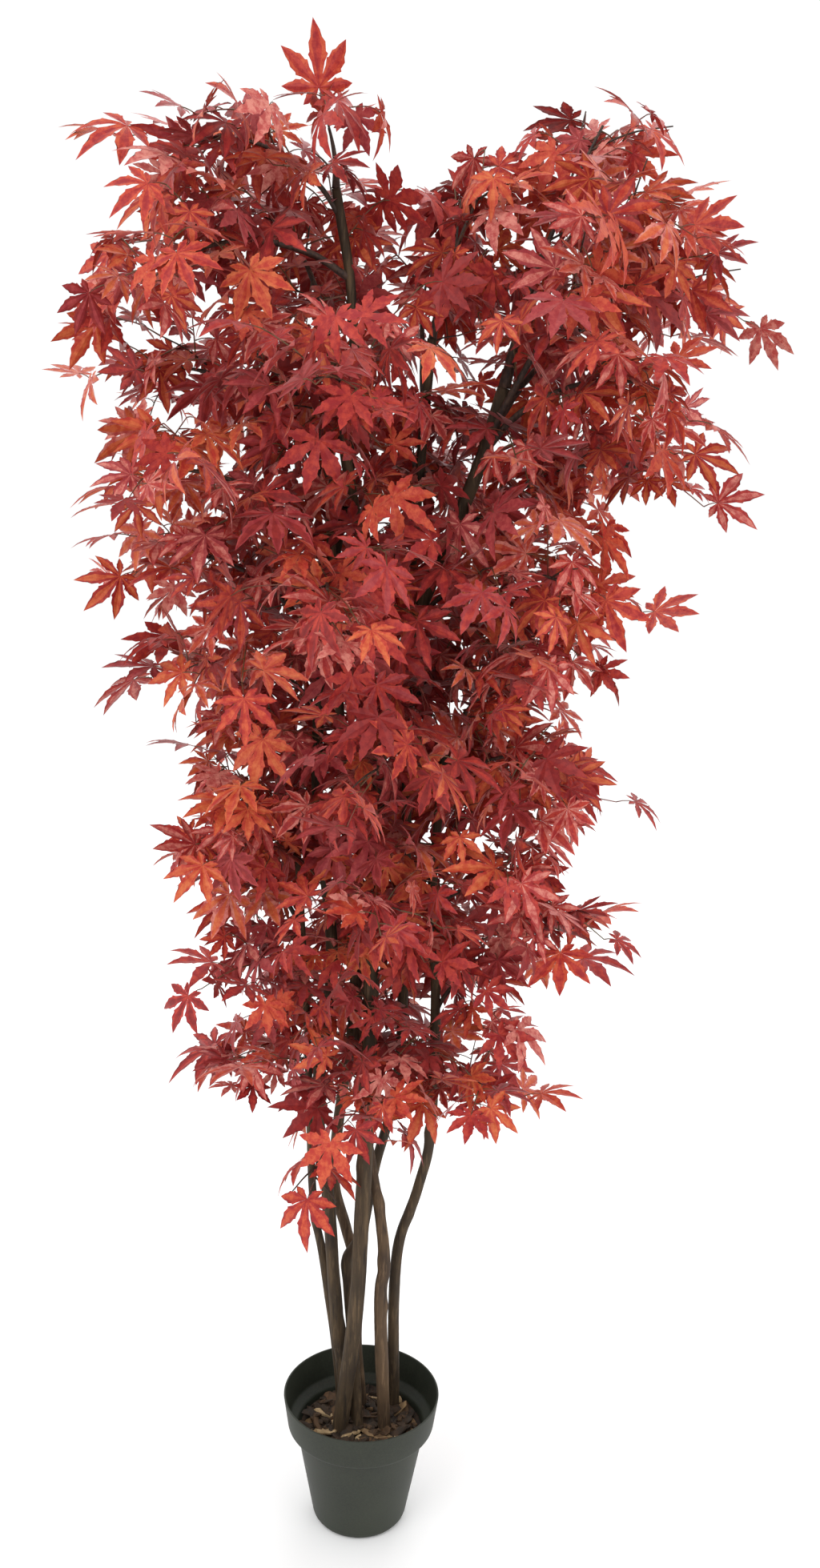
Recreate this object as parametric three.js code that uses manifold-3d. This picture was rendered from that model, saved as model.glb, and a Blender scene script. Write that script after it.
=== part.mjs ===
// An artificial Japanese maple in a nursery pot. Seven crooked wooden stems stand in a filled pot
// under a layer of bark chips, and sprays of palmate leaves on wired twigs arch out of the stems.
// Millimetres, +Z up. The origin is the centre of the pot's flat underside, which stands on z = 0.
// The wider side of the crown reaches to +X, and -Y is the front.

import * as THREE from "three";
import { mergeVertices } from "three/addons/utils/BufferGeometryUtils.js";
import Module from "manifold-3d";

const wasm = await Module();
wasm.setup();

const degree = Math.PI / 180;
const up = new THREE.Vector3(0, 0, 1);
const backward = new THREE.Vector3(0, 1, 0);

// ---------------------------------------------------------------- driving dimensions

const gap = 0.3; // clearance between pieces that touch

const pot = {
  height: 180,
  rimRadius: 100.5,
  collarHeight: 44, // the straight collar under the rim
  collarDraft: 5, // how much narrower the collar is at its foot
  collarStep: 12, // how far the body is set in under the collar
  shoulder: 4, // the height of the step from the body out to the collar
  footRadius: 60,
  footRound: 9,
  wall: 2.3,
  floorThickness: 3.5,
  segments: 24,
};

const filling = { top: 124, socketDepth: 80 };
const barkLayer = { top: 136, edgeTop: 130, flatShare: 0.6 };
const spiralTurn = 137.5 * degree; // from one chip to the next, as seeds stand in a sunflower
const chip = { count: 8, length: 34, width: 17, thickness: 6, tilt: 18 * degree };

// Each stem rises through its stations [x, y, z] and tapers evenly from foot to tip, where an upright
// spray, its leader, carries on. Leaders' azimuths and slopes are in degrees.
const stemFoot = filling.top - filling.socketDepth;
const stemSides = 6;
const ringsPerStation = 2;
const stems = {
  front_stem: {
    radii: [10.5, 7.5],
    leader: { azimuth: 15, slope: 70, length: 290 },
    stations: [
      [-30, -16, stemFoot], [-27, -17, 130], [-9, -22, 310], [-3, -22, 460], [2, -18, 650],
      [4, -6, 950], [20, 0, 1120], [104, 6, 1350], [134, 4, 1450],
    ],
  },
  kinked_stem: {
    radii: [9, 4.5],
    leader: { azimuth: 220, slope: 46, length: 130 },
    stations: [
      [33, -10, stemFoot], [31, -10, 130], [22, -14, 320], [26, -12, 375], [19, -10, 445],
      [-3, 8, 570], [-22, 10, 800], [-44, -2, 1150], [-58, -8, 1380],
    ],
  },
  right_stem: {
    radii: [8, 5],
    leader: { azimuth: -15, slope: 48, length: 140 },
    stations: [
      [38, 36, stemFoot], [42, 38, 130], [39, 29, 290], [44, 22, 388], [66, 14, 470],
      [80, 8, 560], [79, 2, 758], [70, 0, 830], [82, 0, 1050],
    ],
  },
  left_stem: {
    radii: [7, 4],
    leader: { azimuth: 165, slope: 42, length: 120 },
    stations: [
      [-24, 36, stemFoot], [-27, 34, 130], [-35, 28, 230], [-45, 24, 306], [-54, 22, 370],
      [-66, 22, 440], [-72, 22, 566], [-76, 22, 680], [-88, 18, 900],
    ],
  },
  tall_stem: {
    radii: [10, 5],
    leader: { azimuth: 190, slope: 82, length: 60 },
    stations: [
      [-17, 14, stemFoot], [-20, 14, 130], [-25, 12, 212], [-32, 7, 265], [-38, 3, 345],
      [-46, 0, 460], [-61, 2, 600], [-46, 8, 780], [-66, 10, 1000], [-56, 12, 1200],
      [-30, 13, 1400], [-34, 10, 1540], [-52, 8, 1650],
    ],
  },
  back_stem: {
    radii: [8, 5.5],
    leader: { azimuth: 125, slope: 48, length: 170 },
    stations: [
      [0, 37, stemFoot], [-1, 36, 130], [-9, 38, 230], [-8, 42, 320], [-25, 42, 393],
      [-41, 39, 465], [-34, 28, 570], [-4, 20, 830], [10, 18, 1130], [-12, 2, 1240],
      [-44, -6, 1409], [-58, -4, 1500],
    ],
  },
  crossing_stem: {
    radii: [8, 5],
    leader: { azimuth: 30, slope: 70, length: 170 },
    stations: [
      [-2, -12, stemFoot], [-4, -10, 130], [-10, 3, 215], [-19, 20, 320], [-22, 22, 360],
      [-4, 24, 398], [10, 24, 485], [38, 16, 640], [40, 14, 900], [36, 28, 1180],
      [44, 24, 1350], [54, 16, 1500],
    ],
  },
};

// The crown goes up in tiers. Most have a spray to either side and one to the front or back by turns.
// Heights are those of the spray's tips; reaches are from the pot's axis to the furthest leaf tip.
const tiers = [
  { height: 630, left: 215, right: 235, middle: 160 },
  { height: 775, left: 140, right: 240, middle: 220 },
  { height: 885, left: 285, right: 300, middle: 240 },
  { height: 970, left: 240, right: 300, middle: 260 },
  { height: 1050, left: 255, right: 285, middle: 270 },
  { height: 1150, left: 290, right: 335, middle: 280 },
  { height: 1250, left: 350, right: 315, middle: 290 },
  { height: 1360, left: 350, right: 410, middle: 300 },
  { height: 1460, left: 370, right: 375, middle: 300 },
  { height: 1560, left: 335, right: 430, middle: 280 },
  { height: 1630, right: 360 },
  { height: 1690, left: 280 },
];
const tierTurn = 25 * degree; // side sprays swing forward and back of the X axis by turns
const crownFork = 1430; // above this height each side's sprays spring from one tall stem
const topStems = { left: "tall_stem", right: "front_stem", middle: "crossing_stem" };
const topSpacing = 30; // between the sprays of one tall stem, and from the last one to its tip

const leaderBare = 0.2; // the share of a leader's spine that has no twigs
const lowSprig = {
  stem: "tall_stem",
  height: 525,
  azimuth: 262 * degree,
  slope: -30 * degree,
  length: 45,
  bare: 0.6,
};

const sprayRule = {
  slope: 18 * degree, // a spine's mean slope from the stem to its end
  slopeSpread: 14 * degree,
  arch: 28 * degree, // it starts this much steeper than its mean slope, and ends as much flatter
  leastArch: 8 * degree,
  steepest: 62 * degree, // a spine arches less where it would start steeper than this
  steps: 5,
  boughSteps: 2, // steps of the spine that are a bare bough, on the longest sprays
  wander: 8 * degree,
  bareStart: 40, // the stretch of spine next to a stem that has no twigs
  bareAfterBough: 0.06, // the same past a bough's end, as a share of the spine
};
const twigRule = {
  spacing: 44, // along the spine
  last: 0.9, // where the last one springs, as a share of the spine
  angle: 48 * degree, // out from the spine, to its left and right by turns
  lifts: [-14 * degree, 18 * degree], // down and up by turns
  share: 0.4, // a twig's length as a share of its spine's
  lengths: [42, 105],
};
const siteRule = {
  hang: -12 * degree, // a leaf's pitch on a level twig, at its highest
  hangSpread: 44 * degree,
  turnSpread: 30 * degree,
  rollSpread: 100 * degree,
  sizeSpread: 0.16,
};
const seeds = { bark: 11, tiers: 100, leaders: 300, lowSprig: 320 };
const shortestSpray = 60;
const longestSprays = 10; // so many sprays hang on a bough of their own
const boughRadii = [4.4, 3.2];
const spineRadii = [3.2, 1.8];
const twigRadii = [1.3, 1];
const boughSides = 6;
const twigSides = 3;
const leaf = {
  length: 130, // from the end of its stalk to the tip of its middle lobe
  stalk: 0.24, // the stalk's length as a share of the leaf's
  heel: 0.12, // how far the blade reaches behind its middle, as a share of its middle lobe
  thickness: 3,
  sag: 0.14, // how far the lobes' tips hang below the middle
};
const borderOverlap = 60; // how far a spray may reach over into its neighbour's space
const clearance = 1; // between a leaf or twig and everything that it doesn't grow on

const looks = {
  pot: { color: 0x39453f, roughness: 0.6, metalness: 0 },
  filling: { color: 0x8a8780, roughness: 0.95, metalness: 0 },
  bark: { color: 0x6b4a30, roughness: 0.9, metalness: 0 },
  wood: { color: 0x4a3a2b, roughness: 0.85, metalness: 0 },
  twig: { color: 0x3d2a1e, roughness: 0.7, metalness: 0 },
  leaves: { color: 0xa82a2c, roughness: 0.6, metalness: 0 },
};

// ---------------------------------------------------------------- solids

// A closed geometry as a solid: vertices are merged by place and collapsed faces dropped.
function solidOf(geometry) {
  const bare = geometry.clone();
  bare.deleteAttribute("normal");
  bare.deleteAttribute("uv");
  const merged = mergeVertices(bare, 1e-4);
  const corners = merged.index.array;
  const kept = [];
  for (let i = 0; i < corners.length; i += 3) {
    const [a, b, c] = corners.subarray(i, i + 3);
    if (a !== b && b !== c && a !== c) kept.push(a, b, c);
  }
  return new wasm.Manifold(
    new wasm.Mesh({
      numProp: 3,
      vertProperties: merged.attributes.position.array,
      triVerts: new Uint32Array(kept),
    }),
  );
}

function geometryOf(solid) {
  const mesh = solid.getMesh();
  const geometry = new THREE.BufferGeometry();
  geometry.setAttribute("position", new THREE.BufferAttribute(mesh.vertProperties, 3));
  geometry.setIndex(new THREE.BufferAttribute(mesh.triVerts, 1));
  geometry.computeVertexNormals();
  return geometry;
}

// The largest body of a solid: scraps that a skipped neighbour left loose are dropped.
function largestBody(solid) {
  return solid.decompose().reduce((a, b) => (a.volume() >= b.volume() ? a : b));
}

// A surface turned about Z from (radius, height) pairs that run up the outside and down the inside.
function turned(profile, segments) {
  const points = profile.map(([radius, height]) => new THREE.Vector2(radius, height));
  const geometry = new THREE.LatheGeometry(points, segments);
  geometry.rotateX(Math.PI / 2);
  return solidOf(geometry);
}

// A tapering limb of flat-ended, many-sided section through points, with a radius at each point.
function limbSolid(points, radii, sides, grow = 0) {
  const last = points.length - 1;
  const tangents = points.map((_, i) =>
    new THREE.Vector3().subVectors(points[Math.min(i + 1, last)], points[Math.max(i - 1, 0)]).normalize(),
  );
  const centres = points.map((p) => p.clone());
  centres[0].addScaledVector(tangents[0], -grow);
  centres[last].addScaledVector(tangents[last], grow);
  const fatter = grow / Math.cos(Math.PI / sides);
  const isSteep = Math.abs(tangents[0].z) > 0.9;
  const across = new THREE.Vector3().crossVectors(isSteep ? backward : up, tangents[0]);
  const positions = [];
  centres.forEach((centre, i) => {
    across.addScaledVector(tangents[i], -across.dot(tangents[i])).normalize();
    const other = new THREE.Vector3().crossVectors(tangents[i], across);
    for (let k = 0; k < sides; k++) {
      const turn = (k / sides) * 2 * Math.PI;
      const radius = radii[i] + fatter;
      const corner = centre.clone();
      corner.addScaledVector(across, radius * Math.cos(turn));
      corner.addScaledVector(other, radius * Math.sin(turn));
      positions.push(corner.x, corner.y, corner.z);
    }
  });
  const faces = [];
  for (let i = 0; i < last; i++) {
    for (let k = 0; k < sides; k++) {
      const [a, b] = [i * sides + k, i * sides + ((k + 1) % sides)];
      faces.push(a, b, b + sides, a, b + sides, a + sides);
    }
  }
  for (let k = 1; k < sides - 1; k++) {
    faces.push(0, k + 1, k);
    faces.push(last * sides, last * sides + k, last * sides + k + 1);
  }
  const geometry = new THREE.BufferGeometry();
  geometry.setAttribute("position", new THREE.Float32BufferAttribute(positions, 3));
  geometry.setIndex(faces);
  return solidOf(geometry);
}

const clamp = (value, low, high) => Math.min(Math.max(value, low), high);

const evenly = (count, from, to) =>
  Array.from({ length: count }, (_, i) => from + ((to - from) * i) / (count - 1));

// A repeatable stream of numbers from 0 to 1.
function seededRandom(seed) {
  let state = seed >>> 0;
  return () => {
    state = (state + 0x6d2b79f5) >>> 0;
    let mixed = Math.imul(state ^ (state >>> 15), state | 1);
    mixed ^= mixed + Math.imul(mixed ^ (mixed >>> 7), mixed | 61);
    return ((mixed ^ (mixed >>> 14)) >>> 0) / 4294967296;
  };
}

// ---------------------------------------------------------------- pot, filling and bark

const collarFoot = pot.height - pot.collarHeight;
const bodyTop = collarFoot - pot.shoulder;
const ledge = bodyTop + pot.shoulder / 2; // the step inside, where the wall widens into the collar
const collarFootRadius = pot.rimRadius - pot.collarDraft;
const bodyTopRadius = collarFootRadius - pot.collarStep;
const floor = { radius: pot.footRadius - pot.footRound, top: pot.floorThickness };

// The pot's inner radius at a height between its rounded foot and its collar.
function innerRadius(z) {
  const rise = (z - pot.footRound) / (ledge - pot.footRound);
  return pot.footRadius + (bodyTopRadius - pot.footRadius) * rise - pot.wall;
}

function potSolid() {
  const { height, rimRadius, footRadius, footRound, wall, shoulder, segments } = pot;
  const corner = evenly(3, 0, 90 * degree).map((turn) => [
    footRadius - footRound + footRound * Math.sin(turn),
    footRound - footRound * Math.cos(turn),
  ]);
  return turned(
    [
      [0, 0],
      ...corner,
      [bodyTopRadius, bodyTop],
      [collarFootRadius - 2, collarFoot],
      [collarFootRadius, collarFoot + shoulder],
      [rimRadius, height - 1],
      [rimRadius - 1, height],
      [rimRadius - wall, height],
      [collarFootRadius - wall, collarFoot + shoulder],
      [innerRadius(ledge), ledge],
      [innerRadius(footRound), footRound],
      [floor.radius, floor.top],
      [0, floor.top],
    ],
    segments,
  );
}

function fillingSolid() {
  const { footRound, segments } = pot;
  return turned(
    [
      [0, floor.top + gap],
      [floor.radius - gap, floor.top + gap],
      [innerRadius(footRound) - 2 * gap, footRound + gap],
      [innerRadius(filling.top) - gap, filling.top],
      [0, filling.top],
    ],
    segments,
  );
}

// A layer of bark: a low mound with flat chips strewn over it in a spiral.
function barkSolid() {
  const random = seededRandom(seeds.bark);
  const underside = filling.top + gap;
  const edge = innerRadius(underside) - gap;
  const mound = turned(
    [
      [0, underside],
      [edge, underside],
      [innerRadius(barkLayer.edgeTop) - gap, barkLayer.edgeTop],
      [edge * barkLayer.flatShare, barkLayer.top],
      [0, barkLayer.top],
    ],
    pot.segments,
  );
  const furthest = edge - chip.length * 0.75;
  const tilt = () => (random() - 0.5) * 2 * chip.tilt;
  const chips = Array.from({ length: chip.count }, (_, i) => {
    const turn = i * spiralTurn;
    const away = furthest * Math.sqrt((i + 0.5) / chip.count);
    const size = 0.7 + 0.5 * random();
    const geometry = new THREE.BoxGeometry(chip.length * size, chip.width * size, chip.thickness);
    geometry.rotateX(tilt());
    geometry.rotateY(tilt());
    geometry.rotateZ(random() * 2 * Math.PI);
    geometry.translate(away * Math.cos(turn), away * Math.sin(turn), barkLayer.top);
    return solidOf(geometry);
  });
  return wasm.Manifold.union([mound, ...chips]);
}

// ---------------------------------------------------------------- stems

// A stem's centre line and its radius at each point of it.
function stemLine({ radii, stations }) {
  const curve = new THREE.CatmullRomCurve3(
    stations.map((s) => new THREE.Vector3(...s)),
    false,
    "catmullrom",
  );
  const count = (stations.length - 1) * ringsPerStation + 1;
  return {
    points: evenly(count, 0, 1).map((t) => curve.getPoint(t)),
    radii: evenly(count, radii[0], radii[1]),
  };
}

const stemLines = Object.fromEntries(Object.entries(stems).map(([name, stem]) => [name, stemLine(stem)]));

// Where a stem's centre line crosses a height; null above its tip.
function stemAt(name, z) {
  const { points } = stemLines[name];
  const i = points.findIndex((p, k) => k < points.length - 1 && p.z <= z && points[k + 1].z > z);
  if (i < 0) return null;
  const share = (z - points[i].z) / (points[i + 1].z - points[i].z);
  return { name, point: points[i].clone().lerp(points[i + 1], share) };
}

// ---------------------------------------------------------------- how a spray grows

const heading = (azimuth, elevation) =>
  new THREE.Vector3(
    Math.cos(elevation) * Math.cos(azimuth),
    Math.cos(elevation) * Math.sin(azimuth),
    Math.sin(elevation),
  );

// A limb that starts at one elevation and ends at another, in equal straight steps.
function bendingLine(root, azimuths, elevations, length) {
  const steps = azimuths.length;
  const points = [root.clone()];
  azimuths.forEach((azimuth, i) => {
    const next = points[i].clone().addScaledVector(heading(azimuth, elevations[i]), length / steps);
    points.push(next);
  });
  return points;
}

const pointAlong = (points, share) => {
  const place = share * (points.length - 1);
  const i = Math.min(Math.floor(place), points.length - 2);
  return points[i].clone().lerp(points[i + 1], place - i);
};

// A spine arches less the more upright it stands.
const archOf = (slope) => clamp(sprayRule.steepest - Math.abs(slope), sprayRule.leastArch, sprayRule.arch);

// An arched spine is longer than the straight line between its ends.
function archedLength(straight, slope) {
  const bends = evenly(sprayRule.steps, -archOf(slope), archOf(slope));
  return straight / (bends.reduce((sum, bend) => sum + Math.cos(bend), 0) / bends.length);
}

// Every spray grows by this rule: a spine that arches over, side twigs to its left and right by
// turns with leaves at and behind their ends, a leaf across from each twig and one at the spine's end.
function growSpray({ root, azimuth, slope, length, bare, seed }) {
  const random = seededRandom(seed);
  const spread = (width) => (random() - 0.5) * width;
  const { steps, wander } = sprayRule;
  const sway = spread(wander * 2);
  const azimuths = evenly(steps, azimuth - sway, azimuth + sway).map((a) => a + spread(wander));
  const elevations = evenly(steps, slope + archOf(slope), slope - archOf(slope));
  const spine = bendingLine(root, azimuths, elevations, length);
  const sites = [];
  const addSite = (line, share, siteAzimuth, pitch, size, twig) => {
    sites.push({
      twig,
      point: pointAlong(line, share),
      azimuth: siteAzimuth + spread(siteRule.turnSpread),
      pitch: pitch - siteRule.hangSpread * random(),
      roll: spread(siteRule.rollSpread),
      size: size * (1 + spread(siteRule.sizeSpread)),
    });
  };
  addSite(spine, 0.98, azimuths[steps - 1], elevations[steps - 1] + 15 * degree, 1.05);
  const count = Math.max(2, Math.round((length * (1 - bare)) / twigRule.spacing));
  const twigs = evenly(count, bare, twigRule.last).map((share, k) => {
    const step = Math.floor(share * steps);
    const side = (k + seed) % 2 ? 1 : -1;
    const aside = azimuths[step] + side * (twigRule.angle + spread(16 * degree));
    const lift = 0.6 * elevations[step] + twigRule.lifts[k % 2] + spread(24 * degree);
    const free = length * twigRule.share * (1.2 - 0.5 * share) * (1 + spread(0.3));
    const start = pointAlong(spine, share);
    const end = start.clone().addScaledVector(heading(aside, lift), clamp(free, ...twigRule.lengths));
    const twig = { line: [start, end] };
    const hang = 0.4 * lift + siteRule.hang;
    addSite(spine, Math.min(share + 0.06, 0.96), azimuths[step] - side * 58 * degree, hang, 0.9);
    addSite(twig.line, 0.97, aside, hang, 1, twig);
    addSite(twig.line, 0.7, aside - side * 62 * degree, hang, 0.95, twig);
    addSite(twig.line, 0.4, aside + side * 60 * degree, hang, 0.95, twig);
    return twig;
  });
  return { spine, twigs, sites };
}

// ---------------------------------------------------------------- where the sprays go

// The stem that stands furthest out in a direction at a height carries the spray there.
function outermostStem(height, azimuth) {
  const outward = heading(azimuth, 0);
  const found = Object.keys(stems)
    .map((name) => stemAt(name, height))
    .filter(Boolean);
  return found.reduce((a, b) => (a.point.dot(outward) >= b.point.dot(outward) ? a : b));
}

// A tier's spray ends at its own height and reach, whatever stem it springs from.
function tierSpray(name, side, azimuth, level, reach, height) {
  const seed = seeds.tiers + level * 10 + Object.keys(topStems).indexOf(side);
  const outward = heading(azimuth, 0);
  const slope = sprayRule.slope + (seededRandom(seed)() - 0.5) * sprayRule.slopeSpread;
  const rootHeight = height - (reach - leaf.length) * Math.tan(slope);
  const topName = topStems[side];
  const carrier =
    rootHeight < crownFork
      ? outermostStem(rootHeight, azimuth)
      : stemAt(topName, stemLines[topName].points.at(-1).z - topSpacing * (tiers.length - level));
  const across = Math.max(reach - leaf.length - carrier.point.dot(outward), shortestSpray);
  const rise = height - carrier.point.z;
  const steepness = Math.atan2(rise, across);
  return {
    name,
    carrier,
    root: carrier.point,
    azimuth,
    slope: steepness,
    length: archedLength(Math.hypot(rise, across), steepness),
    seed,
  };
}

function tierSprays() {
  const sprays = tiers.flatMap((tier, level) => {
    const number = String(level + 1).padStart(2, "0");
    const turn = level % 2 ? tierTurn : -tierTurn;
    const widened = 1 / Math.cos(tierTurn);
    const front = { name: "front", azimuth: 270 * degree, stretch: 1 };
    const back = { name: "back", azimuth: 90 * degree, stretch: 1 };
    const sides = {
      left: { name: "left", azimuth: Math.PI + turn, stretch: widened },
      right: { name: "right", azimuth: turn, stretch: widened },
      middle: level % 2 ? back : front,
    };
    return Object.entries(sides)
      .filter(([side]) => tier[side])
      .map(([side, { name, azimuth, stretch }]) =>
        tierSpray(`${name}_spray_${number}`, side, azimuth, level, tier[side] * stretch, tier.height),
      );
  });
  const longest = [...sprays].sort((a, b) => b.length - a.length).slice(0, longestSprays);
  for (const spray of sprays) {
    spray.onBough = longest.includes(spray);
    spray.bare = spray.onBough
      ? sprayRule.boughSteps / sprayRule.steps + sprayRule.bareAfterBough
      : sprayRule.bareStart / spray.length;
  }
  return sprays;
}

function leaderSprays() {
  return Object.entries(stems).map(([stem, { leader }], i) => ({
    name: stem.replace("stem", "leader"),
    carrier: { name: stem },
    root: stemLines[stem].points.at(-1),
    azimuth: leader.azimuth * degree,
    slope: leader.slope * degree,
    length: leader.length,
    bare: leaderBare,
    seed: seeds.leaders + i,
  }));
}

function lowSprigSpray() {
  const carrier = stemAt(lowSprig.stem, lowSprig.height);
  return { ...lowSprig, name: "low_sprig", carrier, root: carrier.point, seed: seeds.lowSprig };
}

// ---------------------------------------------------------------- leaves

// A palmate leaf's outline as [turn from its middle lobe, reach]: five pointed lobes, and the notches.
const lobes = [[0, 1], [21, 0.42], [43, 0.9], [66, 0.38], [98, 0.6]];
const mirrored = lobes.slice(1).reverse().map(([turn, reach]) => [-turn, reach]);

// A leaf hangs as its site says, or turned aside or let down where another is in its way.
const turnsAndLifts = [[0, 0], [28, -10], [-28, -10], [0, -26], [56, -18], [-56, -18], [30, 24], [-30, 24]];
const leafPoses = (site) =>
  turnsAndLifts.map(([turn, lift]) => ({
    ...site,
    azimuth: site.azimuth + turn * degree,
    pitch: clamp(site.pitch + lift * degree, -76 * degree, 70 * degree),
  }));

// A leaf is a thin shell with sharp edges, thickest where its stalk meets the blade. The stalk's
// end lies on the twig's axis; a blade without its stalk shows whether the leaf meets anything else.
function leafShape(site) {
  const length = leaf.length * site.size;
  const along = heading(site.azimuth, site.pitch);
  const across = new THREE.Vector3(-Math.sin(site.azimuth), Math.cos(site.azimuth), 0);
  across.applyAxisAngle(along, site.roll);
  const normal = new THREE.Vector3().crossVectors(along, across);
  const radius = length * (1 - leaf.stalk);
  const centre = site.point.clone().addScaledVector(along, length * leaf.stalk);
  const place = (x, y, z) =>
    centre.clone().addScaledVector(along, x).addScaledVector(across, y).addScaledVector(normal, z);
  const edge = ([turn, reach]) => {
    const away = radius * reach;
    return place(away * Math.cos(turn * degree), away * Math.sin(turn * degree), -leaf.sag * away * reach);
  };
  const shell = (back) => [...lobes.map(edge), back, ...mirrored.map(edge)];
  return {
    rim: shell(site.point),
    blade: shell(place(-radius * leaf.heel, 0, 0)),
    middle: [place(0, 0, leaf.thickness / 2), place(0, 0, -leaf.thickness / 2)],
  };
}

function shellSolid(rim, [top, bottom]) {
  const positions = [...rim, top, bottom].flatMap((p) => [p.x, p.y, p.z]);
  const [topIndex, bottomIndex] = [rim.length, rim.length + 1];
  const faces = rim.flatMap((_, i) => {
    const next = (i + 1) % rim.length;
    return [topIndex, i, next, bottomIndex, next, i];
  });
  const geometry = new THREE.BufferGeometry();
  geometry.setAttribute("position", new THREE.Float32BufferAttribute(positions, 3));
  geometry.setIndex(faces);
  return solidOf(geometry);
}

// ---------------------------------------------------------------- each spray keeps to its own space

function distanceToLine(point, line) {
  const nearest = new THREE.Vector3();
  const piece = new THREE.Line3();
  let least = Infinity;
  for (let i = 0; i < line.length - 1; i++) {
    piece.set(line[i], line[i + 1]).closestPointToPoint(point, true, nearest);
    least = Math.min(least, nearest.distanceTo(point));
  }
  return least;
}

// A spray's space is what lies nearer to its spine than to any other, and a little over the border.
const insideOwnSpace = (points, own, others) =>
  points.every((p) => {
    const limit = distanceToLine(p, own) - borderOverlap;
    return others.every((line) => distanceToLine(p, line) > limit);
  });

function boxOf(solid) {
  const { min, max } = solid.boundingBox();
  return new THREE.Box3(new THREE.Vector3(...min), new THREE.Vector3(...max));
}

// Everything that stands in the crown so far, with the box of each piece for a quick first look.
class Crowd {
  pieces = [];

  add(solid, owner) {
    this.pieces.push({ solid, box: boxOf(solid).expandByScalar(clearance), owner });
  }

  // Whether a solid stands clear of all pieces, but for those that a test lets through.
  isClear(solid, letsThrough = () => false) {
    const box = boxOf(solid);
    return this.pieces
      .filter((piece) => piece.box.intersectsBox(box) && !letsThrough(piece))
      .every((piece) => solid.minGap(piece.solid, clearance) >= clearance);
  }
}

// Twigs grow on a spray's spine where they fit its space and meet nothing.
function growTwigs(spray, others, crowd) {
  for (const twig of spray.twigs) {
    const solid = limbSolid(twig.line, twigRadii, twigSides);
    twig.grown =
      insideOwnSpace([pointAlong(twig.line, 0.6), twig.line[1]], spray.ownLine, others) &&
      crowd.isClear(solid, ({ owner }) => owner === spray);
    if (!twig.grown) continue;
    spray.wood.push(solid);
    crowd.add(solid, spray);
  }
}

// A leaf hangs at each site where one of its poses fits the space and its blade meets nothing.
function hangLeaves(spray, others, crowd) {
  const ownWood = ({ solid }) => spray.wood.includes(solid);
  for (const site of spray.sites.filter(({ twig }) => !twig || twig.grown)) {
    const shape = leafPoses(site)
      .map(leafShape)
      .find(
        ({ rim, blade, middle }) =>
          insideOwnSpace(rim, spray.ownLine, others) &&
          crowd.isClear(shellSolid(rim, middle), ownWood) &&
          crowd.isClear(shellSolid(blade, middle)),
      );
    if (!shape) continue;
    const solid = shellSolid(shape.rim, shape.middle);
    spray.leaves.push(solid);
    crowd.add(solid, spray);
  }
}

// ---------------------------------------------------------------- assembly

function assemble() {
  const root = new THREE.Group();
  const materials = Object.fromEntries(
    Object.entries(looks).map(([name, look]) => [name, new THREE.MeshStandardMaterial(look)]),
  );
  const add = (name, solid, look) => {
    const mesh = new THREE.Mesh(geometryOf(solid), materials[look]);
    mesh.name = name;
    root.add(mesh);
  };

  const fatStems = {};
  for (const [name, { points, radii }] of Object.entries(stemLines)) {
    fatStems[name] = limbSolid(points, radii, stemSides, gap);
    add(name, limbSolid(points, radii, stemSides), "wood");
  }
  const sockets = wasm.Manifold.union(Object.values(fatStems));
  add("pot", potSolid(), "pot");
  add("pot_filling", largestBody(fillingSolid().subtract(sockets)), "filling");
  add("bark_chips", largestBody(barkSolid().subtract(sockets)), "bark");

  const crowd = new Crowd();
  Object.values(fatStems).forEach((stem) => crowd.add(stem));
  const sprays = [...leaderSprays(), ...tierSprays(), lowSprigSpray()].map((plan) => {
    const grown = growSpray(plan);
    const steps = plan.onBough ? sprayRule.boughSteps : 0;
    return {
      ...plan,
      ...grown,
      boughLine: grown.spine.slice(0, steps + 1),
      ownLine: grown.spine.slice(steps),
      support: fatStems[plan.carrier.name],
      leaves: [],
    };
  });
  for (const spray of sprays.filter((s) => s.onBough)) {
    const radii = evenly(spray.boughLine.length, ...boughRadii);
    const bough = limbSolid(spray.boughLine, radii, boughSides).subtract(spray.support);
    add(spray.name.replace("spray", "bough"), largestBody(bough), "twig");
    spray.support = limbSolid(spray.boughLine, radii, boughSides, gap);
    crowd.add(spray.support, spray);
  }
  for (const spray of sprays) {
    spray.wood = [limbSolid(spray.ownLine, evenly(spray.ownLine.length, ...spineRadii), twigSides)];
    crowd.add(spray.wood[0], spray);
  }
  const linesBut = (spray) => sprays.filter((s) => s !== spray).map((s) => s.ownLine);
  sprays.forEach((spray) => growTwigs(spray, linesBut(spray), crowd));
  sprays.forEach((spray) => hangLeaves(spray, linesBut(spray), crowd));
  for (const spray of sprays) {
    const fused = wasm.Manifold.union([...spray.wood, ...spray.leaves]);
    add(spray.name, largestBody(fused.subtract(spray.support)), "leaves");
  }
  return root;
}

export default assemble();
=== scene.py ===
# The looks of an artificial Japanese maple in a nursery pot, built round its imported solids.
# Metres, +Z up, and -Y is the front. Plain whole numbers in the tables of stems and tiers are mm.
# The stems and sprays grow here by the rule of the solids' source, written again, and carry on
# down to petioles and single leaves.
import math

import bpy
import numpy as np
from mathutils import Matrix, Vector, noise


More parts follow.
